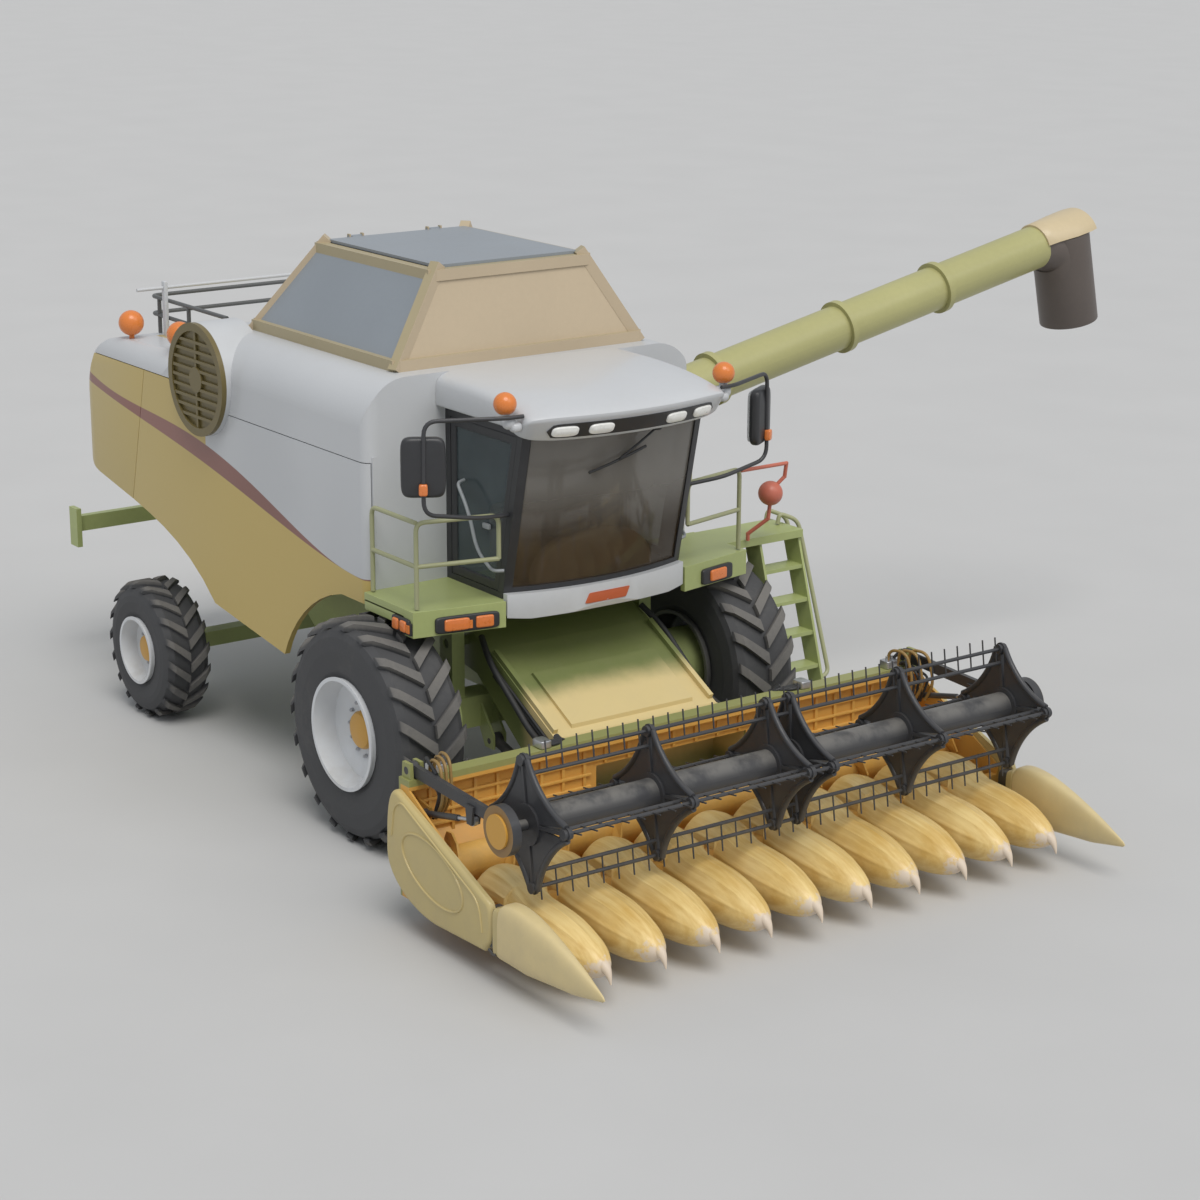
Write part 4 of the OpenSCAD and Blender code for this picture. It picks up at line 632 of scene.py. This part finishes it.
def cab_trim():
    """Wiper, grab handles and sill plate: tubes along lines on the bowed screen and along bent runs, and a thin
    slab that is sheared by half its height and laid round the bow."""
    sweep = np.linspace(0, 1, 12)
    blade = screen(0.22 - 0.52 * sweep, 1.20 - 0.16 * sweep, 0.018)
    arm = screen(0.30 - 0.34 * sweep, 1.36 - 0.22 * sweep, 0.036)
    boss = slab(screen(0.30, 1.36, 0.02), (0.04, 0.04, 0.03), 0.01, 0.8)
    piece("wiper", [tube(blade, 0.012, 8), tube(arm, 0.010, 8), boss], "hose", "chassis")
    wall, clear = 0.872, 0.965
    run = [(0.10, wall, 2.86), (0.12, 0.95, 2.85), (0.30, clear, 2.66), (0.42, clear, 2.36),
           (0.62, 0.955, 2.24), (0.66, wall, 2.24)]
    grips = []
    for side in SIDES:
        grips.append(hose(run, side, 0.12, 0.014))
        grips.append(slab((0.42, side * 0.874, 2.55), (0.05, 0.016, 0.02), 0.006, 0.6))
    piece("cab_handles", grips, "tubes", "chassis")
    sill_front, sill_level = 0.853, 1.945
    flat, faces = slab((0, 0, 0), (0.20, 0.042, 0.004), 0.002, 0.12, sides=48)
    y = flat[:, 0] + 0.5 * flat[:, 1]
    curved = np.stack([sill_front - bowed(y) + flat[:, 2], y, sill_level + flat[:, 1]], axis=-1)
    piece("sill_plate", [(curved, faces)], "plate", "chassis")


def upright_axes(turn):
    """Axes of a block whose third axis looks outwards at an angle from straight ahead, with the second one up."""
    c, w = math.cos(turn), math.sin(turn)
    return np.array([(-w, c, 0), (0, 0, 1), (c, w, 0)])


def mirror_set():
    """Mirrors: crowned slabs turned outwards with thin panes behind them, on bent tubes from the roof to the
    cab's post, each with a small lamp."""
    shells, panes, arms, lamps = [], [], [], []
    for side in SIDES:
        axes = upright_axes(side * math.radians(33))
        centre = np.array((0.715, side * 1.640, 3.185))
        shells.append(slab(centre, (0.172, 0.235, 0.045), 0.035, 0.32, axes, 48, 7, 0.012))
        panes.append(slab(centre - 0.055 * axes[2], (0.150, 0.212, 0.006), 0.003, 0.30, axes, 48))
        grip = centre + 0.064 * axes[2]
        run = [(1.06, side * 0.955, 3.555), (1.05, side * 1.10, 3.555), grip + (0, side * -0.01, 0.365),
               grip + (0, 0, -0.36), (0.80, side * 1.20, 2.74), (0.715, side * 0.868, 2.70)]
        arms.append(tube(bend(run, 0.11), 0.017))
        lamps.append(slab(grip + 0.012 * axes[2] - (0, 0, 0.16), (0.034, 0.045, 0.026), 0.012, 0.4, axes))
    shell = piece("mirror_shells", shells, "dark", "chassis")
    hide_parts("mirrors")
    piece("mirror_panes", panes, "clear", "chassis")
    piece("mirror_arms", arms, "reel", "chassis")
    piece("mirror_lamps", lamps, "amber", "chassis")


def roof_sheet():
    """The cab's roof: a closed side profile carried across the cab. Towards the sides it is drawn in to its
    middle height by (1 - |v|^6)^(1/6), drawn back by the windscreen's bow, and rounded at the front corners."""
    heel, level, half_width, corner = -0.168, 3.462, 0.958, 0.16
    under = [(heel, 3.4055), (0.40, 3.4055), (1.06, 3.4055), (1.118, 3.402), (1.150, 3.352), (1.172, 3.343),
             (1.215, 3.342), (1.230, 3.353), (1.308, 3.505), (1.318, 3.522)]
    crown = bezier([(1.318, 3.545), (1.276, 3.606), (0.90, 3.690), (0.30, 3.707)], 18)
    profile = np.concatenate([under, crown, [(0.05, 3.711), (heel, 3.712)]])
    v = np.sin(np.linspace(-1, 1, 49) * (np.pi / 2 - 0.02))
    shrink = (1 - np.abs(v) ** 6) ** (1 / 6)
    y = half_width * v
    front = np.clip((profile[:, 0] - heel) / 1.3, 0, 1)
    back = bowed(y) + corner * (1 - (1 - np.abs(v) ** 10) ** 0.1)
    rows = np.stack([profile[None, :, 0] - back[:, None] * front[None, :],
                     np.repeat(y[:, None], len(profile), axis=1),
                     level + (profile[None, :, 1] - level) * shrink[:, None]], axis=-1)
    roof = piece("roof_sheet", [grid(rows)], "white", "chassis")
    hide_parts("cab_roof")


def on_visor(part):
    """Points of a flat piece (across, up, out) laid on the visor's leaning, bowed band."""
    lean, band_x, band_z = math.atan2(0.078, 0.152), 1.269, 3.429
    across, up, out = part[0].T
    forward = band_x + up * math.sin(lean) + out * math.cos(lean)
    return np.stack([forward - bowed(across), across, band_z + up * math.cos(lean) - out * math.sin(lean)],
                    axis=-1), part[1]


def lamp_set():
    """Lamps: a band with round ends and crowned slabs on the visor, round knobs under the beacons, and slabs set
    along the platforms' slanted front edges, which run from their outer corner to the cab."""
    across = np.linspace(-1, 1, 41)
    round_end = 0.066 * (1 - np.abs(across) ** 24) ** 0.5
    strip = np.stack([np.stack([0.80 * across, k * round_end, 0 * across + h], axis=-1)
                      for k, h in ((-1, 0), (-1, 0.007), (1, 0.007), (1, 0))], axis=1)
    housings, lenses = [on_visor(grid(strip))], []
    bulbs = [slab((y, 0, 0.012), (0.105, 0.046, 0.014), 0.012, 0.55, sides=40, steps=6, crown=0.008)
             for y in (-0.66, -0.36, 0.36, 0.66)]
    lamp = piece("roof_lamp_lenses", [on_visor(bulb) for bulb in bulbs], "lamp", "chassis")
    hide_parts("roof_lamps")
    knobs = [slab((0.99, side * 1.04, 3.505), (0.055, 0.055, 0.055), 0.05, 1.0) for side in SIDES]
    knobs += [slab((1.02, side * 1.0, 3.47), (0.045, 0.05, 0.04), 0.035, 0.8) for side in SIDES]
    piece("beacon_knobs", knobs, "white", "chassis")
    start, end = np.array((0.558, 1.653)), np.array((0.706, 0.886))
    run = (end - start) / np.linalg.norm(end - start)
    # side, then the share of the edge and the half width of its housing and of each lens
    for side, housing, glasses in ((-1, (0.575, 0.27), ((0.455, 0.105), (0.755, 0.075))),
                                   (1, (0.50, 0.19), ((0.50, 0.10),))):
        flip = np.array((1, side, 1))
        axes = np.array([(run[0], run[1], 0), (0, 0, 1), (-run[1], run[0], 0)]) * flip
        for kept, high, deep, rows in ((housings, 0.068, 0.026, (housing,)), (lenses, 0.048, 0.042, glasses)):
            for share, wide in rows:
                spot = np.append(start + share * (end - start), LAMP_LEVEL) * flip
                kept.append(slab(spot, (wide, high, deep), 0.012, 0.25, axes, 40))
    flank = -1.653
    housings.append(slab((0.40, flank, LAMP_LEVEL), (0.125, 0.062, 0.026), 0.012, 0.25, FACING_RIGHT, 40))
    lenses += [slab((x, flank, LAMP_LEVEL), (0.042, 0.046, 0.042), 0.012, 0.4, FACING_RIGHT, 40)
               for x in (0.345, 0.455)]
    piece("platform_lamp_housings", housings, "dark", "chassis")
    piece("platform_lamp_lenses", lenses, "amber", "chassis")
    skirts = [slab((0.13, side * 1.637, 1.905), (0.30, 0.045, 0.016), 0.006, 0.1, FACING_LEFT, 24)
              for side in SIDES]
    piece("platform_skirts", skirts, "green", "chassis")


def rails():
    """Hand rails as bent tubes: platform rails, ladder rails, and the guard and bar on the engine deck."""
    top, mid, y = 2.70, 2.35, 1.593
    front, back, inner_x, inner_y = 0.52, -0.13, 0.675, 0.93
    runs = []
    for side in SIDES:
        runs.append([(front, side * y, DECK_TOP), (front, side * y, top), (inner_x, side * inner_y, top),
                     (inner_x, side * inner_y, mid)])
        runs.append([(front, side * y, mid), (inner_x, side * inner_y, mid)])
    runs.append([(front, -y, top), (back, -y, top), (back, -y, DECK_TOP)])
    runs.append([(front, -y, mid), (back, -y, mid)])
    for x in (-0.10, 0.06):
        runs.append([(x, 2.40, DECK_TOP), (x, 2.42, 2.10), (x + 0.06, 2.58, 2.03), (x + 0.12, 2.60, 1.80),
                     (x + 0.52, 2.58, 0.76), (x + 0.53, 2.486, 0.72)])
    guard_y, guard_front, guard_back, guard_top = 1.10, -3.35, -4.80, 3.675
    for z in (guard_top, 3.515):
        runs.append([(guard_front, -guard_y, z), (guard_back, -guard_y, z), (guard_back, guard_y, z),
                     (guard_front, guard_y, z)])
    for x in (-3.38, -4.075, -4.65):
        foot = 3.35 + 0.04 * (x + 4.7)
        runs += [[(x, side * guard_y, foot), (x, side * guard_y, guard_top)] for side in SIDES]
    tubes = [tube(bend(run, 0.075) if len(run) > 2 else run, 0.019) for run in runs]
    made = piece("rail_tubes", tubes, "rail", "chassis")
    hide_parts("hand_rails")
    bar_x, bar_y, bar_z = -4.45, 1.42, 3.80
    bar = [tube([(bar_x, -bar_y, bar_z), (bar_x, bar_y, bar_z)], 0.016)]
    bar += [slab((bar_x, side * 1.14, 3.60), (0.03, 0.02, 0.26), 0.01, 0.4) for side in SIDES]
    piece("deck_bar", bar, "white", "chassis")


def spout_set():
    """The unloader's end: a turned down tube, an elbow into it that widens along its path, and a cover of
    D-shaped sections along the tube's axis."""
    rise, end = math.radians(12), 4.82
    along = np.array((0, math.cos(rise), math.sin(rise)))
    over = np.array((0, -math.sin(rise), math.cos(rise)))
    base = np.array((-0.85, 1.90, 3.05))
    drop = [(0.283, 0.04), (0.283, -0.838), (0.279, -0.846), (0.264, -0.846), (0.260, -0.838), (0.260, -0.30)]
    reach = bezier([(4.30, 0.0), (4.74, 0.0), (4.80, -0.06), (end, -0.50)], 20)
    elbow = base + reach[:, :1] * along + reach[:, 1:] * over
    widening = np.interp(reach[:, 0], (4.30, 4.48, end), (0.190, 0.200, 0.276))
    tubes = [turned(drop, base + end * along, over), tube(elbow, widening, 40)]
    made = piece("spout_tube", tubes, "spout", "unloader")
    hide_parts("unloader_spout")
    arc = np.linspace(-1.36, 1.36, 25)
    place = np.array((4.47, 4.475, 4.60, 4.80, 4.98, 5.06, 5.095))
    wide = np.array((0.222, 0.226, 0.236, 0.286, 0.288, 0.270, 0.215))
    high = np.array((0.222, 0.226, 0.226, 0.226, 0.226, 0.220, 0.180))
    rows = base + place[:, None, None] * along + (high[:, None] * np.cos(arc))[..., None] * over \
        + (wide[:, None] * np.sin(arc))[..., None] * np.array((1, 0, 0))
    piece("spout_cover", [grid(rows)], "cover", "unloader")


# Wheels

def wheel_bolts():
    """Nuts and studs as small slabs round a circle on each rim, and a turned cap on each hub."""
    # wheel, its line, the rim's middle, the nuts' circle, the disc's face beyond the middle, nuts, hub radius
    for name, axle, y, ring, out, count, hub in (("drive", DRIVE_AXLE, 1.66, 0.225, 0.100, 12, 0.155),
                                                 ("steer", STEER_AXLE, 1.634, 0.165, 0.072, 10, 0.125)):
        x, z = axle
        a = np.linspace(0, 2 * np.pi, count, endpoint=False)
        cap = [(0.92 * hub, 0.0), (hub, 0.012), (hub, 0.050), (0.90 * hub, 0.072), (0.60 * hub, 0.084),
               (0.05 * hub, 0.088)]
        for side, word in ((1, "left"), (-1, "right")):
            body = name + "_wheel_" + word
            at = np.stack([x + ring * np.cos(a), 0 * a + side * (y + out + 0.012), z + ring * np.sin(a)], axis=-1)
            nuts = [slab(c, (0.018, 0.018, 0.016), 0.003, 1.0, FACING_LEFT, 6, 2) for c in at]
            nuts += [slab(c, (0.010, 0.010, 0.026), 0.003, 1.0, FACING_LEFT, 10, 2) for c in at]
            piece(name + "_nuts_" + word, nuts, "steel", body)
            centre = (x, side * (y + out), z)
            piece(name + "_cap_" + word, [turned(cap, centre, (0, side, 0))], "hub", body)


# Header

def wall_bars():
    """Bars on the header's wall: small slabs in even rows, upright ones and level ones."""
    upright_x, level_x, thick, wide = 1.727, 1.731, 0.012, 0.014
    outer = np.concatenate([side * np.arange(0.86, 2.45, 0.20) for side in SIDES])
    bars = [slab((upright_x, y, 0.87), (thick, wide, 0.21), 0.004, 0.3, sides=12, steps=3) for y in outer]
    bars += [slab((upright_x, y, 1.00), (thick, wide, 0.085), 0.004, 0.3, sides=12, steps=3)
             for y in np.arange(-0.66, 0.7, 0.22)]
    level = [(0.0, z, 2.44) for z in (0.955, 1.055)] + [(s * 1.62, z, 0.82) for z in (0.75, 0.85) for s in SIDES]
    bars += [slab((level_x, y, z), (long, thick, wide), 0.004, 0.08, FACING_FRONT, 24, 3) for y, z, long in level]
    piece("header_wall_bars", bars, "amber_wall", "feeder")


def header_hoses():
    """Hoses clamped along the feeder and the header's ends: tubes along bent runs, with small valve blocks."""
    lines, loops = [], []
    for side in SIDES:
        for d in 0.034 * np.arange(3):
            lines.append(hose([(0.42, 0.815, 1.37 - d), (1.24, 0.815, 0.93 - d), (1.42, 0.818, 0.93 - d),
                               (1.52, 0.885 + d, 0.98), (1.655 - d, 0.98 + d, 1.12), (1.725 + d, 1.06 + d, 1.186),
                               (1.725 + d, 1.24, 1.186)], side, 0.09, 0.014, 10))
        lines.append(hose([(1.74, 2.26, 1.22), (1.80, 2.34, 1.33), (1.95, 2.37, 1.28), (2.05, 2.40, 1.266)],
                          side, 0.09, 0.014, 10))
        lines.append(hose([(0.22, 0.80, 1.58), (0.45, 0.87, 1.42), (1.05, 0.87, 0.98), (1.40, 0.885, 0.90),
                           (1.60, 0.93, 1.05), (1.70, 1.10, 1.20)], side, 0.14, 0.026, 14))
        for k in range(4):
            y = 2.30 + 0.028 * k
            lines.append(hose([(1.80, 2.26 + 0.02 * k, 1.19), (1.86, y, 1.235 - 0.02 * k),
                               (1.98 + 0.03 * k, y, 1.13), (1.97, y, 0.90)], side, 0.07, 0.011, 8))
        for k in range(3):
            x, y = 1.82 + 0.05 * k, 2.20 + 0.07 * k
            loops.append(hose([(x - 0.06, y, 1.16), (x - 0.05, y, 1.33), (x + 0.14, y + 0.03, 1.34),
                               (x + 0.20, y + 0.05, 1.08), (x + 0.10, y + 0.05, 0.92)], side, 0.10, 0.013, 10))
    piece("header_lines", lines, "hose", "feeder")
    piece("header_loops", loops, "loop", "feeder")
    valve_x, valve_z = 1.76, 1.203
    blocks = [slab((valve_x, side * 2.22, valve_z), (0.055, 0.07, 0.033), 0.008, 0.3) for side in SIDES]
    blocks += [slab((valve_x, side * (2.19 + 0.05 * k), 1.25), (0.012, 0.012, 0.02), 0.003, 1.0, sides=12)
               for side in SIDES for k in range(2)]
    blocks += [slab((valve_x, side * 1.275, valve_z), (0.065, 0.05, 0.030), 0.008, 0.3) for side in SIDES]
    piece("header_valves", blocks, "steel", "feeder")


def shield_beads():
    """Raised beads on the header's ends: a tube round a sheared ellipse and one along a bent run."""
    a = np.linspace(0, 2 * np.pi, 73)
    y = SHIELD_FACE
    run = [(1.67, y, 0.72), (1.71, y, 0.95), (1.81, y, 1.02), (2.83, y, 0.58), (2.87, y, 0.36)]
    beads = []
    for side in SIDES:
        oval = np.stack([2.22 + 0.40 * np.cos(a) - 0.05 * np.sin(a), 0 * a + side * y,
                         0.60 + 0.22 * np.sin(a) - 0.06 * np.cos(a)], axis=-1)
        beads += [tube(oval, 0.010, 8), hose(run, side, 0.12, 0.009, 8)]
    piece("shield_beads", beads, "shield", "feeder")


def end_shield():
    """Rows of the shield: its side outline, drawn in along its inward normals by a quarter round at its rim."""
    outline = np.concatenate([bezier([(1.760, 1.072), (1.660, 1.110), (1.600, 1.010), (1.588, 0.760)], 24),
                              bezier([(1.582, 0.600), (1.575, 0.380), (1.880, 0.200), (2.250, 0.192)], 24),
                              [(2.60, 0.2053), (2.880, 0.216)],
                              bezier([(2.955, 0.300), (2.985, 0.400), (2.985, 0.560), (2.935, 0.606)], 12),
                              [(2.35, 0.838)]])
    on, back = np.roll(outline, -1, axis=0) - outline, outline - np.roll(outline, 1, axis=0)
    along = on / np.linalg.norm(on, axis=1, keepdims=True) + back / np.linalg.norm(back, axis=1, keepdims=True)
    inward = np.stack([-along[:, 1], along[:, 0]], axis=1) / np.linalg.norm(along, axis=1, keepdims=True)
    inner, rim_start, rim = 2.502, 2.524, 0.035
    turn = np.linspace(0, np.pi / 2, 7)
    inset = np.concatenate([[0.0], rim * (1 - np.cos(turn))])
    out = np.concatenate([[inner], rim_start + rim * np.sin(turn)])
    flat = outline[None] + inset[:, None, None] * inward[None]
    return np.stack([flat[..., 0], np.repeat(out[:, None], len(outline), axis=1), flat[..., 1]], axis=-1)


def header_end_set():
    """Header ends: a shield, a block, and a divider whose sections shrink to its tip, with dark boots between."""
    top = bezier([(3.100, 0.625), (3.300, 0.690), (3.750, 0.560), (4.211, 0.330)], 30)
    x = np.concatenate([[3.075], top[:, 0], [4.227]])
    high = np.concatenate([[0.612], top[:, 1] + 0.012, [0.318]])
    low = np.interp(x, [2.945, 3.4, 3.9, 4.211, 4.227], [0.225, 0.205, 0.24, 0.298, 0.312])
    half = np.interp(x, [3.07, 3.40, 4.0, 4.227], [0.094, 0.094, 0.045, 0.006])
    power = np.interp(x, [3.07, 3.5, 4.2], [0.42, 0.62, 0.9])
    cone, _ = sections(x, 2.476, half, 0.62 * low + 0.38 * high, low, high, power)
    block, _ = sections(np.array((2.995, 3.005, 3.06, 3.068)), 2.472, np.array((0.078, 0.088, 0.088, 0.080)), 0.4,
                        np.array((0.235, 0.225, 0.222, 0.23)), np.array((0.572, 0.586, 0.602, 0.596)), 0.32)
    boot, _ = sections(np.array((2.90, 3.09)), 2.470, 0.066, 0.4, 0.25, 0.56, 0.32)
    hook = np.array([(2.95, 2.555, 0.262), (3.0, 2.548, 0.235), (3.04, 2.548, 0.25)])
    shield = end_shield()
    parts, boots = [], []
    for side in SIDES:
        mirror = np.array((1, side, 1))
        parts += [grid(shield * mirror), grid(cone * mirror), grid(block * mirror)]
        boots += [grid(boot * mirror), tube(hook * mirror, 0.012, 8)]
    made = piece("header_end_sheets", parts, "shield", "feeder")
    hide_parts("header_ends")
    piece("divider_boots", boots, "dark", "feeder")


def snout_rows():
    """A snout and its hood as rings across x, with lengthwise ribs: each ring's upper half grows by narrow bells
    round the ring."""
    tip, length, hood_end = 3.786, 0.986, 2.80
    nose = bezier([(0.014, 0), (0.104, 0.03), (0.188, 0.24), (0.2, 0.56)], 60)
    hood = bezier([(2.44, 0.64), (2.54, 0.69), (2.80, 0.64), (2.98, 0.545)], 40)
    x = np.concatenate([[2.422, 2.428], np.linspace(2.44, 2.798, 14), [2.802], np.linspace(2.82, 3.60, 22),
                        tip - 0.17 * np.linspace(1, 0, 16) ** 1.6])
    behind = x < hood_end
    radius = np.interp(tip - x, nose[:, 1], nose[:, 0])
    axis = 0.30 + 0.07 * (tip - x) / length
    cover = np.interp(x, np.append(2.42, hood[:, 0]), np.append(0.605, hood[:, 1]), right=0.0)
    mid = np.where(behind, 0.482, axis)
    low = np.where(behind, 0.480, axis - radius)
    high = np.maximum(cover, np.where(behind, 0.0, axis + radius))
    rows, a = sections(x, 0.0, np.where(behind, 0.194, radius), mid, low, high, 1.0, 96)
    round_ring = (a + np.pi) % (2 * np.pi) - np.pi
    rib_width, rib_height = 0.065, 0.008
    bells = sum(np.exp(-((round_ring - rib) / rib_width) ** 2) for rib in (-1.2, -0.6, 0.0, 0.6, 1.2))
    fade = np.clip((x - 2.46) / 0.1, 0, 1) * np.clip((3.70 - x) / 0.2, 0, 1)
    away = rows - np.stack([x, 0 * x, mid], axis=-1)[:, None]
    away /= np.maximum(np.linalg.norm(away, axis=2, keepdims=True), 1e-6)
    return rows + rib_height * (fade[:, None] * bells)[..., None] * away


def snouts():
    """The row of snouts: one ribbed shell and one hooked tip, a tube that thins along a curve, set out evenly."""
    count, pitch = 10, 0.475
    body = grid(snout_rows())
    path = bezier([(3.715, 0.318), (3.785, 0.312), (3.815, 0.275), (3.836, 0.200)], 14)
    hook = tube(np.stack([path[:, 0], 0 * path[:, 0], path[:, 1]], axis=-1), np.linspace(0.058, 0.005, 14), 20)
    parts = [(part[0] + (0, (k - (count - 1) / 2) * pitch, 0), part[1])
             for k in range(count) for part in (body, hook)]
    made = piece("snout_shells", parts, "snout", "feeder")
    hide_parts("row_snouts")


def reel_edges():
    """Rolled edges of the reel's plates: a tube along each plate's four hollow sides, turned with the reel's rest
    angle."""
    tilt = math.radians(8)
    hollow = bezier([(0.468, -0.046), (0.276, -0.1196), (0.1196, -0.276), (0.046, -0.468)], 20)
    parts = []
    for quarter in range(4):
        c, s = math.cos(tilt + quarter * np.pi / 2), math.sin(tilt + quarter * np.pi / 2)
        x = REEL_AXLE[0] + (hollow[:, 0] * c - hollow[:, 1] * s)
        z = REEL_AXLE[1] + (hollow[:, 0] * s + hollow[:, 1] * c)
        for y in (-2.28, -1.19, -0.11, 0.11, 1.19, 2.28):
            parts.append(tube(np.stack([x, 0 * x + y, z], axis=-1), 0.024, 10))
    piece("reel_plate_edges", parts, "reel", "reel_drum")


# Softened edges of sheet and moulded pieces, by width

ROUND = {0.02: ["front_sill"],
         0.010: ["cab_deck", "feeder_house", "cab_frame", "door_left", "window_right", "tank_frame", "rear_hood",
                 "lamp_housings", "rear_beam"],
         0.006: ["amber_lamps", "ladder", "tank_lid", "straw_chopper"]}


def soften():
    """Welds each node's triangles, clears its flat ones and rounds its edges."""
    for width, names in ROUND.items():
        for name in names:
            made = nodes[name]
            weld = made.modifiers.new("weld", "WELD")
            weld.merge_threshold = 0.00005
            flat = made.modifiers.new("flat", "DECIMATE")
            flat.decimate_type, flat.angle_limit = "DISSOLVE", math.radians(1.0)
            round_off = made.modifiers.new("round", "BEVEL")
            round_off.width, round_off.segments, round_off.limit_method = width, 3, "ANGLE"
            round_off.angle_limit, round_off.use_clamp_overlap = math.radians(38), True
            round_off.harden_normals = False


cab_inside()
cab_trim()
mirror_set()
roof_sheet()
lamp_set()
rails()
spout_set()
wheel_bolts()
wall_bars()
header_hoses()
shield_beads()
header_end_set()
snouts()
reel_edges()
soften()


# Studio

def look_axes(ahead, roll=0.0):
    """Rotation whose -Z looks along ahead, with Y up, rolled about the view."""
    ahead = ahead / np.linalg.norm(ahead)
    right = np.cross(ahead, (0.0, 0.0, 1.0))
    right = right / np.linalg.norm(right)
    up = np.cross(right, ahead)
    across = right * math.cos(roll) + up * math.sin(roll)
    over = up * math.cos(roll) - right * math.sin(roll)
    return np.stack([across, over, -ahead], axis=1).tolist()


def studio():
    """A pale floor, soft light and the photo's camera."""
    reach = 400.0
    mesh = bpy.data.meshes.new("floor")
    mesh.from_pydata([(-reach, -reach, 0), (reach, -reach, 0), (reach, reach, 0), (-reach, reach, 0)], [],
                     [(0, 1, 2, 3)])
    floor = bpy.data.objects.new("floor", mesh)
    bpy.context.scene.collection.objects.link(floor)
    f = Finish("pale floor")
    cloud = f.noise(0.6, 3.0)
    mesh.materials.append(f.done(cloud.mix((0.51, 0.51, 0.505), (0.55, 0.55, 0.545)), 0.75 + 0.1 * cloud))
    world = bpy.data.worlds.new("studio")
    bpy.context.scene.world = world
    world.use_nodes = True
    sky = world.node_tree.nodes["Background"].inputs
    sky["Color"].default_value, sky["Strength"].default_value = (0.90, 0.94, 1.0, 1.0), 0.53
    for name, aim, energy, colour in (("key", (-0.50, 0.20, -1.0), 1.70, (1.0, 0.97, 0.93)),
                                      ("fill", (-0.85, -0.35, -0.75), 0.45, (1.0, 0.97, 0.94))):
        light = bpy.data.lights.new(name, "SUN")
        light.angle, light.energy, light.color = 0.6, energy, colour
        lamp = bpy.data.objects.new(name, light)
        bpy.context.scene.collection.objects.link(lamp)
        lamp.rotation_mode = "QUATERNION"
        lamp.rotation_quaternion = Matrix(look_axes(np.array(aim))).to_quaternion()
    eye = ORIGIN + np.array((17.6945, -12.2842, 7.8848))
    yaw, pitch, roll = (math.radians(a) for a in (144.0753, -16.017, 0.2133))
    ahead = np.array((math.cos(pitch) * math.cos(yaw), math.cos(pitch) * math.sin(yaw), math.sin(pitch)))
    camera = bpy.data.objects.new("camera", bpy.data.cameras.new("camera"))
    camera.data.sensor_width, camera.data.lens = 36.0, 81.33
    camera.data.clip_end = 900.0
    bpy.context.scene.collection.objects.link(camera)
    camera.matrix_world = Matrix.Translation(eye) @ Matrix(look_axes(ahead, roll)).to_4x4()
    bpy.context.scene.camera = camera
    bpy.context.scene.view_settings.view_transform = "Standard"


studio()
